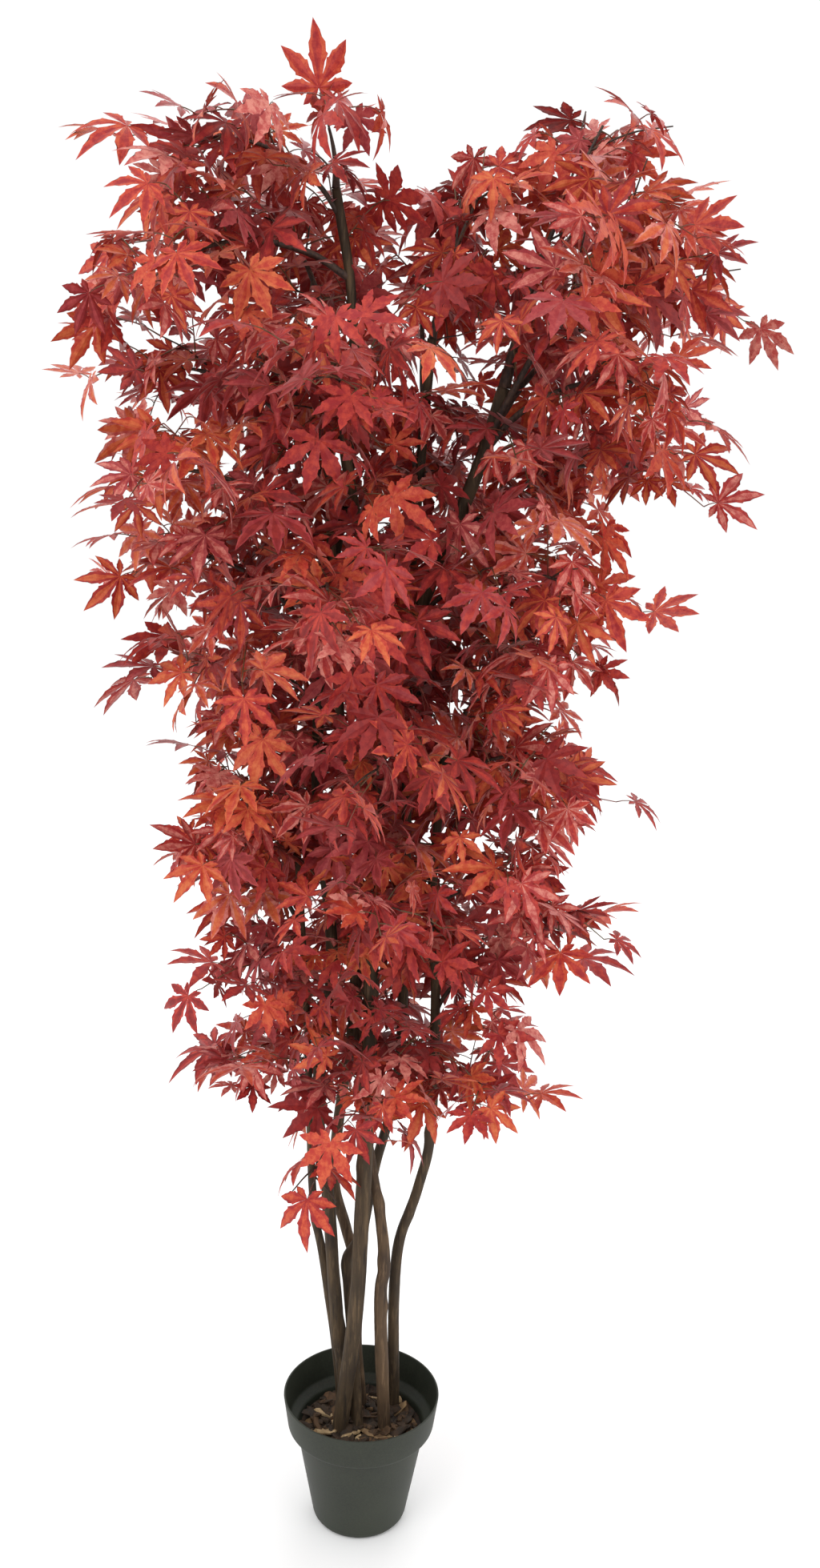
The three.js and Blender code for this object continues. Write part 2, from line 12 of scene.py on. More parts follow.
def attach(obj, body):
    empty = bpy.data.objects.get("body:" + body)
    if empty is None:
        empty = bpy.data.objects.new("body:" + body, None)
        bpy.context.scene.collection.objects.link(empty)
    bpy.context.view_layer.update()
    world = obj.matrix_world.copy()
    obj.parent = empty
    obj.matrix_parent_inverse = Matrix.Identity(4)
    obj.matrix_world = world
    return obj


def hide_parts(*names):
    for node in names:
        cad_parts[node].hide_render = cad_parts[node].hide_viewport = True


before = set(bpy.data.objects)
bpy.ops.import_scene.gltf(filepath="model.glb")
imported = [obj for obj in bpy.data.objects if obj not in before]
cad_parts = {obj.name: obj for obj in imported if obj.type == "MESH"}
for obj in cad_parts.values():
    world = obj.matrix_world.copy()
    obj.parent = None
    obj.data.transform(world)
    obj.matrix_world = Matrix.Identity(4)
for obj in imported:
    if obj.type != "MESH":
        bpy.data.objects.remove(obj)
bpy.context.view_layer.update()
mm = 0.001
degree = math.pi / 180
spiralTurn = 137.5 * degree  # from one shoot or chip to the next, as seeds stand in a sunflower
up = Vector((0, 0, 1))
print("stage: frame loaded")


# small helpers

def evenly(count, start, end):
    return [start + (end - start) * i / (count - 1) for i in range(count)]


def clamp(value, low, high):
    return min(max(value, low), high)


def heading(azimuth, elevation):
    flat = math.cos(elevation)
    return Vector((flat * math.cos(azimuth), flat * math.sin(azimuth), math.sin(elevation)))


# a repeatable stream of numbers from 0 to 1, the same one that the solids grow by
def seededRandom(seed):
    state = seed

    def draw():
        nonlocal state
        state = (state + 0x6D2B79F5) & 0xFFFFFFFF
        mixed = ((state ^ (state >> 15)) * (state | 1)) & 0xFFFFFFFF
        mixed ^= (mixed + (((mixed ^ (mixed >> 7)) * (mixed | 61)) & 0xFFFFFFFF)) & 0xFFFFFFFF
        return (mixed ^ (mixed >> 14)) / 4294967296

    return draw


class Draws:  # seeded draws, with a spread about nought, a range and a choice
    def __init__(self, seed):
        self.draw = seededRandom(seed)

    def __call__(self):
        return self.draw()

    def spread(self, width):
        return (self.draw() - 0.5) * width

    def between(self, low, high):
        return low + (high - low) * self.draw()

    def pick(self, *choices):
        return choices[int(self.draw() * len(choices)) % len(choices)]


def linear(red, green, blue):  # a screen colour, 0 to 255, as the shader's linear colour
    parts = [c / 255 for c in (red, green, blue)]
    return tuple(p / 12.92 if p <= 0.04045 else ((p + 0.055) / 1.055) ** 2.4 for p in parts) + (1.0,)


# camera, lights and floor

viewSettings = {
    "place": (0.0425, -1.789, 1.504),
    "pitch": 15.7 * degree,  # looks down by this much
    "roll": 1.5 * degree,
    "lens": 36.75,
}
lightSettings = {
    "sky": 1.04,
    "target": (0, 0, 1.1),
    "key": {"place": (-1.7, -2.3, 3.3), "size": 2.0, "power": 36},
    "fill": {"place": (2.4, -1.9, 2.0), "size": 2.0, "power": 16},
    "back": {"place": (0.6, 2.6, 3.2), "size": 2.4, "power": 30},
}


def makeCamera(settings):
    data = bpy.data.cameras.new("camera")
    data.lens = settings["lens"]
    camera = bpy.data.objects.new("camera", data)
    pitch, roll = settings["pitch"], settings["roll"]
    ahead = Vector((0, math.cos(pitch), -math.sin(pitch)))
    level = Vector((1, 0, 0))
    lift = level.cross(ahead)
    right = level * math.cos(roll) + lift * math.sin(roll)
    above = lift * math.cos(roll) - level * math.sin(roll)
    turn = Matrix((right, above, -ahead)).transposed().to_4x4()
    camera.matrix_world = Matrix.Translation(settings["place"]) @ turn
    bpy.context.scene.collection.objects.link(camera)
    bpy.context.scene.camera = camera


def makeLight(name, settings, target):
    data = bpy.data.lights.new(name, "AREA")
    data.size = settings["size"]
    data.energy = settings["power"]
    lamp = bpy.data.objects.new(name, data)
    lamp.location = settings["place"]
    lamp.rotation_euler = (target - lamp.location).to_track_quat("-Z", "Y").to_euler()
    bpy.context.scene.collection.objects.link(lamp)


makeCamera(viewSettings)
for name in ("key", "fill", "back"):
    makeLight(name, lightSettings[name], Vector(lightSettings["target"]))
sky = bpy.data.worlds.new("studio")
sky.use_nodes = True
sky.node_tree.nodes["Background"].inputs["Color"].default_value = (1, 1, 1, 1)
sky.node_tree.nodes["Background"].inputs["Strength"].default_value = lightSettings["sky"]
bpy.context.scene.world = sky
bpy.context.scene.view_settings.view_transform = "Standard"
print("stage: camera and lights")


# shader maths: a Wire is a node's output, and arithmetic on wires adds Math nodes

class Wire:
    def __init__(self, finish, socket):
        self.finish = finish
        self.socket = socket

    def maths(self, operation, first, second):
        return self.finish.add("ShaderNodeMath", {"operation": operation}, {0: first, 1: second})

    def __add__(self, other):
        return self.maths("ADD", self, other)

    __radd__ = __add__

    def __sub__(self, other):
        return self.maths("SUBTRACT", self, other)

    def __rsub__(self, other):
        return self.maths("SUBTRACT", other, self)

    def __mul__(self, other):
        return self.maths("MULTIPLY", self, other)

    __rmul__ = __mul__


class Finish:  # a material: what is the same all over it stands on the shader's own sockets
    def __init__(self, name, constants):
        self.material = bpy.data.materials.new(name)
        self.material.use_nodes = True
        self.tree = self.material.node_tree
        self.shader = self.tree.nodes["Principled BSDF"]
        for socketName, value in constants.items():
            self.shader.inputs[socketName].default_value = value
        self.material.diffuse_color = self.shader.inputs["Base Color"].default_value

    # any node: its settings first, then the values or links of its inputs
    def add(self, kind, settings=None, inputs=None, output=0):
        node = self.tree.nodes.new(kind)
        for key, value in (settings or {}).items():
            setattr(node, key, value)
        for key, value in (inputs or {}).items():
            if isinstance(value, Wire):
                self.tree.links.new(value.socket, node.inputs[key])
            else:
                node.inputs[key].default_value = value
        return Wire(self, node.outputs[output])

    def feed(self, socketName, wire):
        self.tree.links.new(wire.socket, self.shader.inputs[socketName])

    def place(self, stretch=(1, 1, 1)):  # object coordinates, so a pattern stays on the piece
        spot = self.add("ShaderNodeTexCoord", output="Object")
        return self.add("ShaderNodeVectorMath", {"operation": "MULTIPLY"}, {0: spot, 1: stretch})

    def cloud(self, scale, detail=3, stretch=(1, 1, 1), roughness=0.55):
        values = {"Vector": self.place(stretch), "Scale": scale, "Detail": detail}
        return self.add("ShaderNodeTexNoise", inputs={**values, "Roughness": roughness})

    def spread(self, wire, low, high, start=0.0, end=1.0):  # maps low..high onto start..end, clamped
        ends = {0: wire, 1: low, 2: high, 3: start, 4: end}
        return self.add("ShaderNodeMapRange", inputs=ends)

    def blend(self, factor, first, second):
        values = {0: factor, 6: first, 7: second}
        return self.add("ShaderNodeMix", {"data_type": "RGBA"}, values, output=2)

    def emboss(self, height, depth, strength):
        values = {"Height": height, "Distance": depth, "Strength": strength}
        self.feed("Normal", self.add("ShaderNodeBump", inputs=values))


# finishes, each with its colours above it


def floorFinish():
    white = (0.97, 0.97, 0.97, 1)
    return Finish("pale_floor", {"Base Color": white, "Roughness": 0.9, "Specular IOR Level": 0})


dullGloss = 0.35  # the specular level of moulded plastic and dry bark
potColours = {
    "plastic": linear(42, 45, 34),
    "shade": linear(31, 35, 27),
    "film": linear(46, 50, 40),
    "speckle": linear(58, 62, 50),
    "scuff": linear(140, 144, 132),
}


def potFinish():
    tone = potColours
    constants = {"Base Color": tone["plastic"], "Specular IOR Level": dullGloss}
    finish = Finish("nursery_pot_plastic", constants)
    grain = finish.cloud(420, 3)
    film = finish.cloud(9, 4, roughness=0.6)
    scuffLines = finish.cloud(60, 2, stretch=(0.35, 0.35, 2.2))
    scuffs = finish.spread(scuffLines, 0.70, 0.76) * finish.spread(finish.cloud(22), 0.52, 0.62)
    filmed = finish.blend(finish.spread(film, 0.35, 0.7), tone["shade"], tone["film"])
    speckled = finish.blend(finish.spread(grain, 0.35, 0.7, 0.0, 0.4), filmed, tone["speckle"])
    finish.feed("Base Color", finish.blend(scuffs * 0.35, speckled, tone["scuff"]))
    finish.feed("Roughness", 0.46 + film * 0.16 + grain * 0.08)
    finish.emboss(grain, 0.15 * mm, 0.35)
    return finish


cementColours = {
    "plain": linear(136, 132, 124),
    "dark": linear(104, 100, 94),
    "pale": linear(160, 156, 148),
}


def cementFinish():
    tone = cementColours
    finish = Finish("cement", {"Base Color": tone["plain"], "Roughness": 0.95})
    lumps = finish.cloud(90, 6)
    finish.feed("Base Color", finish.blend(lumps, tone["dark"], tone["pale"]))
    finish.emboss(lumps, 2 * mm, 0.6)
    return finish


chipColours = {  # dark and pale
    "bark_brown": (linear(52, 36, 22), linear(96, 70, 45)),
    "bark_dark": (linear(30, 22, 14), linear(66, 48, 32)),
    "bark_tan": (linear(96, 72, 46), linear(148, 120, 84)),
    "bark_pale": (linear(140, 114, 80), linear(196, 170, 130)),
}


def chipFinish(name, dark, pale):
    finish = Finish(name, {"Base Color": dark, "Roughness": 0.85})
    grain = finish.cloud(150, 5, stretch=(1, 0.35, 1))
    patches = finish.cloud(45, 3)
    tone = finish.spread(grain * 0.6 + patches * 0.4, 0.36, 0.64)
    finish.feed("Base Color", finish.blend(tone, dark, pale))
    finish.feed("Roughness", 0.7 + grain * 0.25)
    finish.emboss(grain, 1.2 * mm, 0.7)
    return finish


stemColours = {  # dark, middle and pale
    "stem_bark": (linear(48, 37, 25), linear(72, 57, 39), linear(106, 86, 62)),
    "stem_bark_warm": (linear(60, 45, 32), linear(89, 69, 49), linear(127, 102, 76)),
}
fissureColour = linear(30, 23, 18)


def stemFinish(name, dark, middle, pale):
    finish = Finish(name, {"Base Color": middle, "Specular IOR Level": dullGloss})
    grain = finish.cloud(260, 5, stretch=(1, 1, 0.09), roughness=0.65)
    fissures = finish.cloud(95, 4, stretch=(1, 1, 0.14))
    blotches = finish.cloud(26, 3, stretch=(1, 1, 0.45))
    body = finish.blend(finish.spread(blotches, 0.38, 0.62), dark, middle)
    streaked = finish.blend(finish.spread(grain, 0.5, 0.72, 0.0, 0.75), body, pale)
    depth = finish.spread(fissures, 0.30, 0.42, 0.85, 0.0)
    finish.feed("Base Color", finish.blend(depth, streaked, fissureColour))
    finish.feed("Roughness", 0.62 + blotches * 0.3)
    finish.emboss(grain * 0.5 + fissures, 1.0 * mm, 0.8)
    return finish


wireColours = {
    "plain": linear(52, 38, 31),
    "dark": linear(38, 27, 23),
    "pale": linear(84, 62, 48),
}


def wireFinish():
    tone = wireColours
    finish = Finish("wrapped_wire", {"Base Color": tone["plain"]})
    wrap = finish.cloud(300, 4, stretch=(1, 1, 0.5))
    worn = finish.spread(wrap, 0.35, 0.7)
    finish.feed("Base Color", finish.blend(worn, tone["dark"], tone["pale"]))
    finish.feed("Roughness", 0.55 + wrap * 0.25)
    finish.emboss(wrap, 0.4 * mm, 0.6)
    return finish


petioleColours = {
    "plain": linear(104, 70, 44),
    "olive": linear(92, 74, 44),
    "red": linear(122, 52, 40),
}


def petioleFinish():
    tone = petioleColours
    finish = Finish("petiole_plastic", {"Base Color": tone["plain"], "Roughness": 0.5})
    change = finish.spread(finish.cloud(40, 2), 0.4, 0.6)
    finish.feed("Base Color", finish.blend(change, tone["olive"], tone["red"]))
    return finish


leafColours = {  # the cloth's ground, and the warmer print on it
    "crimson": (linear(150, 34, 38), linear(184, 62, 48)),
    "scarlet": (linear(174, 48, 38), linear(200, 88, 56)),
    "orange": (linear(188, 74, 44), linear(206, 108, 64)),
    # rose is partly a pink tint of the cloth, and its pale print is partly a painted highlight for
    # sheen and backlight on the outer leaves
    "rose": (linear(176, 70, 66), linear(210, 130, 116)),
    # maroon is a darker copy of the red cloth, dealt out only in the dark pairs next to the stems, as
    # painted shade
    "maroon": (linear(126, 30, 32), linear(150, 44, 40)),
    "wine": (linear(146, 42, 48), linear(170, 68, 66)),
}
clothGloss = {
    "Specular IOR Level": 0.3,
    "Sheen Weight": 0.22,
    "Sheen Roughness": 0.4,
    "Sheen Tint": (1.0, 0.78, 0.74, 1),
}


def leafFinish(name, ground, glow):
    finish = Finish(name, {"Base Color": ground, **clothGloss})
    mottle = finish.spread(finish.cloud(120, 5, roughness=0.7), 0.42, 0.6)
    finish.feed("Base Color", finish.blend(mottle, ground, glow))
    weave = finish.cloud(900, 2)
    finish.feed("Roughness", 0.46 + weave * 0.16)
    crease = finish.cloud(140, 3)
    finish.emboss(weave * 0.25 + crease, 0.5 * mm, 0.5)
    return finish


potPlastic = potFinish()
cement = cementFinish()
chipFinishes = [chipFinish(name, *tones) for name, tones in chipColours.items()]
stemBark, warmBark = [stemFinish(name, *tones) for name, tones in stemColours.items()]
wrappedWire = wireFinish()
petiolePlastic = petioleFinish()
leafTints = {name: leafFinish("leaf_" + name, *tones) for name, tones in leafColours.items()}
tintNames = list(leafTints)
print("stage: finishes")


# meshes

class Sheaf:  # gathers many small shapes into one mesh
    def __init__(self):
        self.points = []
        self.faces = []
        self.slots = []

    def add(self, points, faces, slots):
        start = len(self.points)
        self.points.extend(points)
        self.faces.extend(tuple(start + corner for corner in face) for face in faces)
        self.slots.extend(slots)


def makePiece(name, sheaf, finishes, replaced=()):
    mesh = bpy.data.meshes.new(name)
    mesh.from_pydata(sheaf.points, [], sheaf.faces)
    for finish in finishes:
        mesh.materials.append(finish.material)
    mesh.polygons.foreach_set("material_index", sheaf.slots)
    mesh.polygons.foreach_set("use_smooth", [True] * len(sheaf.faces))
    mesh.update()
    piece = bpy.data.objects.new(name, mesh)
    bpy.context.scene.collection.objects.link(piece)
    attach(piece, "root")
    if replaced:
        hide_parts(*replaced)
    return piece


# a round limb along a line; relief(turn, away) swells or sinks its radius
def addLimb(sheaf, line, radii, sides, relief=None, slot=0):
    last = len(line) - 1
    tangents = [(line[min(i + 1, last)] - line[max(i - 1, 0)]).normalized() for i in range(last + 1)]
    side = tangents[0].cross(Vector((0, 1, 0)) if abs(tangents[0].z) > 0.9 else up)
    points = []
    away = 0
    for i, (centre, tangent, radius) in enumerate(zip(line, tangents, radii)):
        side = (side - tangent * side.dot(tangent)).normalized()
        other = tangent.cross(side)
        away += (centre - line[i - 1]).length if i else 0
        for k in range(sides):
            turn = 2 * math.pi * k / sides
            swell = relief(turn, away) if relief else 0
            reach = radius * (1 + swell)
            points.append(centre + side * (reach * math.cos(turn)) + other * (reach * math.sin(turn)))
    faces = []
    for i in range(last):
        for k in range(sides):
            a, b = i * sides + k, i * sides + (k + 1) % sides
            faces.append((a, b, b + sides, a + sides))
    faces.append(tuple(reversed(range(sides))))
    faces.append(tuple(range(last * sides, (last + 1) * sides)))
    sheaf.add(points, faces, [slot] * len(faces))


def smoothPoint(points, share):  # on a Catmull-Rom curve through the points
    place = share * (len(points) - 1)
    i = min(int(place), len(points) - 2)
    t = place - i
    a, b = points[i], points[i + 1]
    before = points[i - 1] if i else a * 2 - b
    after = points[i + 2] if i + 2 < len(points) else b * 2 - a
    along, leaving = (b - before) / 2, (after - a) / 2
    curve = (a * 2 - b * 2 + along + leaving) * t**3
    return curve + (b * 3 - a * 3 - along * 2 - leaving) * t**2 + along * t + a


# stems: the same stations, radii and leaders as the solids, and the knots on each

stemFoot = 44
stems = {
    "front_stem": {
        "radii": (10.5, 7.5),
        "leader": {"azimuth": 15, "slope": 70, "length": 290},
        "stations": [
            (-30, -16, stemFoot), (-27, -17, 130), (-9, -22, 310), (-3, -22, 460), (2, -18, 650),
            (4, -6, 950), (20, 0, 1120), (104, 6, 1350), (134, 4, 1450),
        ],
        "knots": [(250, 200, 0.12), (520, 20, 0.16), (640, 250, 0.2), (980, 110, 0.2)],
    },
    "kinked_stem": {
        "radii": (9, 4.5),
        "leader": {"azimuth": 220, "slope": 46, "length": 130},
        "stations": [
            (33, -10, stemFoot), (31, -10, 130), (22, -14, 320), (26, -12, 375), (19, -10, 445),
            (-3, 8, 570), (-22, 10, 800), (-44, -2, 1150), (-58, -8, 1380),
        ],
        "knots": [(225, 250, 0.2), (318, 180, 0.28), (380, 20, 0.25), (460, 190, 0.3)],
    },
    "right_stem": {
        "radii": (8, 5),
        "leader": {"azimuth": -15, "slope": 48, "length": 140},
        "stations": [
            (38, 36, stemFoot), (42, 38, 130), (39, 29, 290), (44, 22, 388), (66, 14, 470),
            (80, 8, 560), (79, 2, 758), (70, 0, 830), (82, 0, 1050),
        ],
        "knots": [(300, 90, 0.15), (430, 200, 0.18), (556, 0, 0.32), (700, 180, 0.2)],
    },
    "left_stem": {
        "radii": (7, 4),
        "leader": {"azimuth": 165, "slope": 42, "length": 120},
        "stations": [
            (-24, 36, stemFoot), (-27, 34, 130), (-35, 28, 230), (-45, 24, 306), (-54, 22, 370),
            (-66, 22, 440), (-72, 22, 566), (-76, 22, 680), (-88, 18, 900),
        ],
        "knots": [(240, 180, 0.25), (420, 0, 0.2), (600, 200, 0.2)],
    },
    "tall_stem": {
        "radii": (10, 5),
        "leader": {"azimuth": 190, "slope": 82, "length": 60},
        "stations": [
            (-17, 14, stemFoot), (-20, 14, 130), (-25, 12, 212), (-32, 7, 265), (-38, 3, 345),
            (-46, 0, 460), (-61, 2, 600), (-46, 8, 780), (-66, 10, 1000), (-56, 12, 1200),
            (-30, 13, 1400), (-34, 10, 1540), (-52, 8, 1650),
        ],
        "knots": [(270, 190, 0.18), (455, 30, 0.2), (610, 210, 0.22), (900, 100, 0.18)],
    },
    "back_stem": {
        "radii": (8, 5.5),
        "leader": {"azimuth": 125, "slope": 48, "length": 170},
        "stations": [
            (0, 37, stemFoot), (-1, 36, 130), (-9, 38, 230), (-8, 42, 320), (-25, 42, 393),
            (-41, 39, 465), (-34, 28, 570), (-4, 20, 830), (10, 18, 1130), (-12, 2, 1240),
            (-44, -6, 1409), (-58, -4, 1500),
        ],
        "knots": [(320, 100, 0.2), (500, 170, 0.25), (760, 0, 0.2)],
    },
    "crossing_stem": {
        "radii": (8, 5),
        "leader": {"azimuth": 30, "slope": 70, "length": 170},
        "stations": [
            (-2, -12, stemFoot), (-4, -10, 130), (-10, 3, 215), (-19, 20, 320), (-22, 22, 360),
            (-4, 24, 398), (10, 24, 485), (38, 16, 640), (40, 14, 900), (36, 28, 1180),
            (44, 24, 1350), (54, 16, 1500),
        ],
        "knots": [(330, 170, 0.25), (405, 200, 0.2), (500, 20, 0.22), (700, 90, 0.18)],
    },
}
barkSettings = {
    "sides": 32,
    "ringGap": 5 * mm,
    # each roughness: how quickly it changes round the stem and along it, and its depth
    "lumps": (0.8, 18, 0.07),
    "ridges": (2.6, 11, 0.07),
    "grit": (5, 90, 0.03),
    "knotLength": 11 * mm,
    "knotWidth": 0.8,  # in radians round the stem
    "seedStep": 7.3,  # from one stem to the next
    "warm": ("kinked_stem", "back_stem"),
}


def stemLine(stem):
    stations = [Vector(s) * mm for s in stem["stations"]]
    count = (len(stations) - 1) * 2 + 1
    return [smoothPoint(stations, t) for t in evenly(count, 0, 1)]


stemLines = {name: stemLine(stem) for name, stem in stems.items()}


def stemAt(name, z):  # where a stem's centre line crosses a height; None above its tip
    points = stemLines[name]
    for a, b in zip(points, points[1:]):
        if a.z <= z < b.z:
            return a.lerp(b, (z - a.z) / (b.z - a.z))
    return None


def barkRelief(seed, knots):
    shifts = {"lumps": (seed, 0, 0), "ridges": (0, seed, 0), "grit": (0, 0, seed)}

    def relief(turn, away):
        swell = 0
        for kind, (x, y, z) in shifts.items():
            around, along, depth = barkSettings[kind]
            spot = (math.cos(turn) * around + x, math.sin(turn) * around + y, away * along + z)
            swell += depth * noise.noise(Vector(spot))
        for height, side, size in knots:
            off = math.remainder(turn - side * degree, 2 * math.pi) / barkSettings["knotWidth"]
            far = (away - height * mm) / barkSettings["knotLength"]
            swell += size * math.exp(-far * far - off * off)
        return swell

    return relief


def makeStems():
    for number, (name, stem) in enumerate(stems.items()):
        stations = [Vector(s) * mm for s in stem["stations"]]
        length = (stations[-1] - stations[0]).length
        shares = evenly(int(length / barkSettings["ringGap"]), 0, 1)
        line = [smoothPoint(stations, t) for t in shares]
        foot, tip = stem["radii"]
        radii = [(foot + (tip - foot) * t) * mm for t in shares]
        knots = [(height - stemFoot, side, size) for height, side, size in stem["knots"]]
        sheaf = Sheaf()
        relief = barkRelief(number * barkSettings["seedStep"], knots)
        addLimb(sheaf, line, radii, barkSettings["sides"], relief)
        bark = warmBark if name in barkSettings["warm"] else stemBark
        makePiece(name + "_bark", sheaf, [bark], [name])


makeStems()
print("stage: stems")


# how a spray grows: the rule of the solids, with a fine twig at each place where they try a leaf

tiers = [
    {"height": 630, "left": 215, "right": 235, "middle": 160},
    {"height": 775, "left": 140, "right": 240, "middle": 220},
    {"height": 885, "left": 285, "right": 300, "middle": 240},
    {"height": 970, "left": 240, "right": 300, "middle": 260},
    {"height": 1050, "left": 255, "right": 285, "middle": 270},
    {"height": 1150, "left": 290, "right": 335, "middle": 280},
    {"height": 1250, "left": 350, "right": 315, "middle": 290},
    {"height": 1360, "left": 350, "right": 410, "middle": 300},
    {"height": 1460, "left": 370, "right": 375, "middle": 300},
    {"height": 1560, "left": 335, "right": 430, "middle": 280},
    {"height": 1630, "right": 360},
    {"height": 1690, "left": 280},
]
crownSettings = {
    "tierTurn": 25 * degree,
    "crownFork": 1430 * mm,
    "topStems": {"left": "tall_stem", "right": "front_stem", "middle": "crossing_stem"},
    "topSpacing": 30 * mm,
    "leafReach": 130 * mm,
    "shortest": 60 * mm,
    "onBoughs": 10,
    "leaderBare": 0.2,
    "storeyHeight": 1080 * mm,
}
lowSprig = {
    "stem": "tall_stem",
    "height": 525,
    "azimuth": 262,
    "slope": -30,
    "length": 45,
    "bare": 0.6,
    # each leaf's place along the spine, azimuth, pitch, roll and size
    "leaves": ((0.3, 205, -20, 25, 1.0), (0.5, 318, -18, -15, 1.05), (1, 256, -54, 8, 1.22)),
    "tints": ("crimson", "scarlet"),
}
sprayRule = {
    "slope": 18 * degree,
    "slopeSpread": 14 * degree,
    "arch": 28 * degree,
    "leastArch": 8 * degree,
    "steepest": 62 * degree,
    "steps": 5,
    "boughSteps": 2,
    "wander": 8 * degree,
    "bareStart": 40 * mm,
    "bareAfterBough": 0.06,
}
twigRule = {
    "spacing": 44 * mm,
    "fewest": 2,
    "last": 0.9,
    "angle": 48 * degree,
    "angleSpread": 16 * degree,
    "lifts": (-14 * degree, 18 * degree),
    "liftSpread": 24 * degree,
    "liftShare": 0.6,  # of the spine's own lift
    "share": 0.4,  # of the spine's length
    "shortening": (1.2, 0.5),  # times the first of these, less the second by how far out it starts
    "lengthSpread": 0.3,
    "lengths": (42 * mm, 105 * mm),
}
siteRule = {
    "turnSpread": 30 * degree,
    "sizeSpread": 0.16,
    "tip": {"place": 0.98, "size": 1.05},
    "across": {"past": 0.06, "last": 0.96, "turn": -58 * degree, "size": 0.9},
    # on each twig: how far along it, turned aside by how much, size and kind
    "onTwig": (
        (0.97, 0, 1, "end"),
        (0.7, -62 * degree, 0.95, "side"),
        (0.4, 60 * degree, 0.95, "side"),
    ),
}
boughShare = sprayRule["boughSteps"] / sprayRule["steps"]
seeds = {"tiers": 100, "leaders": 300, "lowSprig": 320, "leaves": 900, "shoots": 2000}


def bendingLine(root, azimuths, elevations, length):
    points = [root.copy()]
    for azimuth, elevation in zip(azimuths, elevations):
        points.append(points[-1] + heading(azimuth, elevation) * (length / len(azimuths)))
    return points


def archOf(slope):
    return clamp(sprayRule["steepest"] - abs(slope), sprayRule["leastArch"], sprayRule["arch"])


def archedLength(straight, slope):
    bends = evenly(sprayRule["steps"], -archOf(slope), archOf(slope))
    return straight / (sum(math.cos(bend) for bend in bends) / len(bends))


def tipKind(spray):  # which kind of fine twig stands at the end of a spray
    if spray["name"] == "tall_leader":
        return "top"
    return "end" if spray["side"] == "leader" else "tip"


def growSpray(plan):
    random = Draws(plan["seed"])
    steps, slope, length = sprayRule["steps"], plan["slope"], plan["length"]
    sway = random.spread(sprayRule["wander"] * 2)
    azimuths = [
        a + random.spread(sprayRule["wander"])
        for a in evenly(steps, plan["azimuth"] - sway, plan["azimuth"] + sway)
    ]
    elevations = evenly(steps, slope + archOf(slope), slope - archOf(slope))
    spine = bendingLine(plan["root"], azimuths, elevations, length)
    sites = []

    def addSite(line, share, azimuth, size, kind):
        site = {"point": smoothPoint(line, share), "kind": kind}
        site["azimuth"] = azimuth + random.spread(siteRule["turnSpread"])
        for _ in ("pitch", "roll"):  # drawn for the solids' leaf; a fine twig has its own
            random()
        site["size"] = size * (1 + random.spread(siteRule["sizeSpread"]))
        sites.append(site)

    tip, across = siteRule["tip"], siteRule["across"]
    addSite(spine, tip["place"], azimuths[-1], tip["size"], tipKind(plan))
    count = math.floor(length * (1 - plan["bare"]) / twigRule["spacing"] + 0.5)
    count = max(twigRule["fewest"], count)
    full, taper = twigRule["shortening"]
    twigs = []
    for k, share in enumerate(evenly(count, plan["bare"], twigRule["last"])):
        step = int(share * steps)
        side = 1 if (k + plan["seed"]) % 2 else -1
        aside = azimuths[step] + side * (twigRule["angle"] + random.spread(twigRule["angleSpread"]))
        lift = twigRule["liftShare"] * elevations[step] + twigRule["lifts"][k % 2]
        lift += random.spread(twigRule["liftSpread"])
        free = length * twigRule["share"] * (full - taper * share)
        free *= 1 + random.spread(twigRule["lengthSpread"])
        start = smoothPoint(spine, share)
        twig = [start, start + heading(aside, lift) * clamp(free, *twigRule["lengths"])]
        place = min(share + across["past"], across["last"])
        addSite(spine, place, azimuths[step] + side * across["turn"], across["size"], "across")
        for place, turn, size, kind in siteRule["onTwig"]:
            addSite(twig, place, aside + side * turn, size, kind)
        twigs.append(twig)
    return {**plan, "spine": spine, "twigs": twigs, "sites": sites}


def outermostStem(height, azimuth):
    outward = heading(azimuth, 0)
    found = [stemAt(name, height) for name in stems]
    return max((point for point in found if point), key=lambda point: point.dot(outward))


def tierSpray(name, side, azimuth, level, reach, height):
    seed = seeds["tiers"] + level * 10 + list(crownSettings["topStems"]).index(side)
    slope = sprayRule["slope"] + Draws(seed).spread(sprayRule["slopeSpread"])
    rootHeight = height - (reach - crownSettings["leafReach"]) * math.tan(slope)
    top = crownSettings["topStems"][side]
    if rootHeight < crownSettings["crownFork"]:
        root = outermostStem(rootHeight, azimuth)
    else:
        tip = stemLines[top][-1].z
        root = stemAt(top, tip - crownSettings["topSpacing"] * (len(tiers) - level))
    inward = root.dot(heading(azimuth, 0))
    across = max(reach - crownSettings["leafReach"] - inward, crownSettings["shortest"])
    rise = height - root.z
    steepness = math.atan2(rise, across)
    length = archedLength(math.hypot(rise, across), steepness)
    plan = {"name": name, "root": root, "azimuth": azimuth, "slope": steepness}
    return {**plan, "length": length, "seed": seed, "side": side}


def tierSprays():
    sprays = []
    for level, tier in enumerate(tiers):
        turn = crownSettings["tierTurn"] * (1 if level % 2 else -1)
        widened = 1 / math.cos(turn)
        sides = {
            "left": ("left", math.pi + turn, widened),
            "right": ("right", turn, widened),
            "middle": ("back", math.pi / 2, 1) if level % 2 else ("front", math.pi * 1.5, 1),
        }
        for side in [side for side in sides if side in tier]:
            label, azimuth, stretch = sides[side]
            name = f"{label}_spray_{level + 1:02d}"
            reach = tier[side] * mm * stretch
            sprays.append(tierSpray(name, side, azimuth, level, reach, tier["height"] * mm))
    longest = sorted(sprays, key=lambda spray: -spray["length"])[: crownSettings["onBoughs"]]
    for spray in sprays:
        spray["onBough"] = spray in longest
        spray["bare"] = sprayRule["bareStart"] / spray["length"]
        if spray["onBough"]:
            spray["bare"] = boughShare + sprayRule["bareAfterBough"]
    return sprays


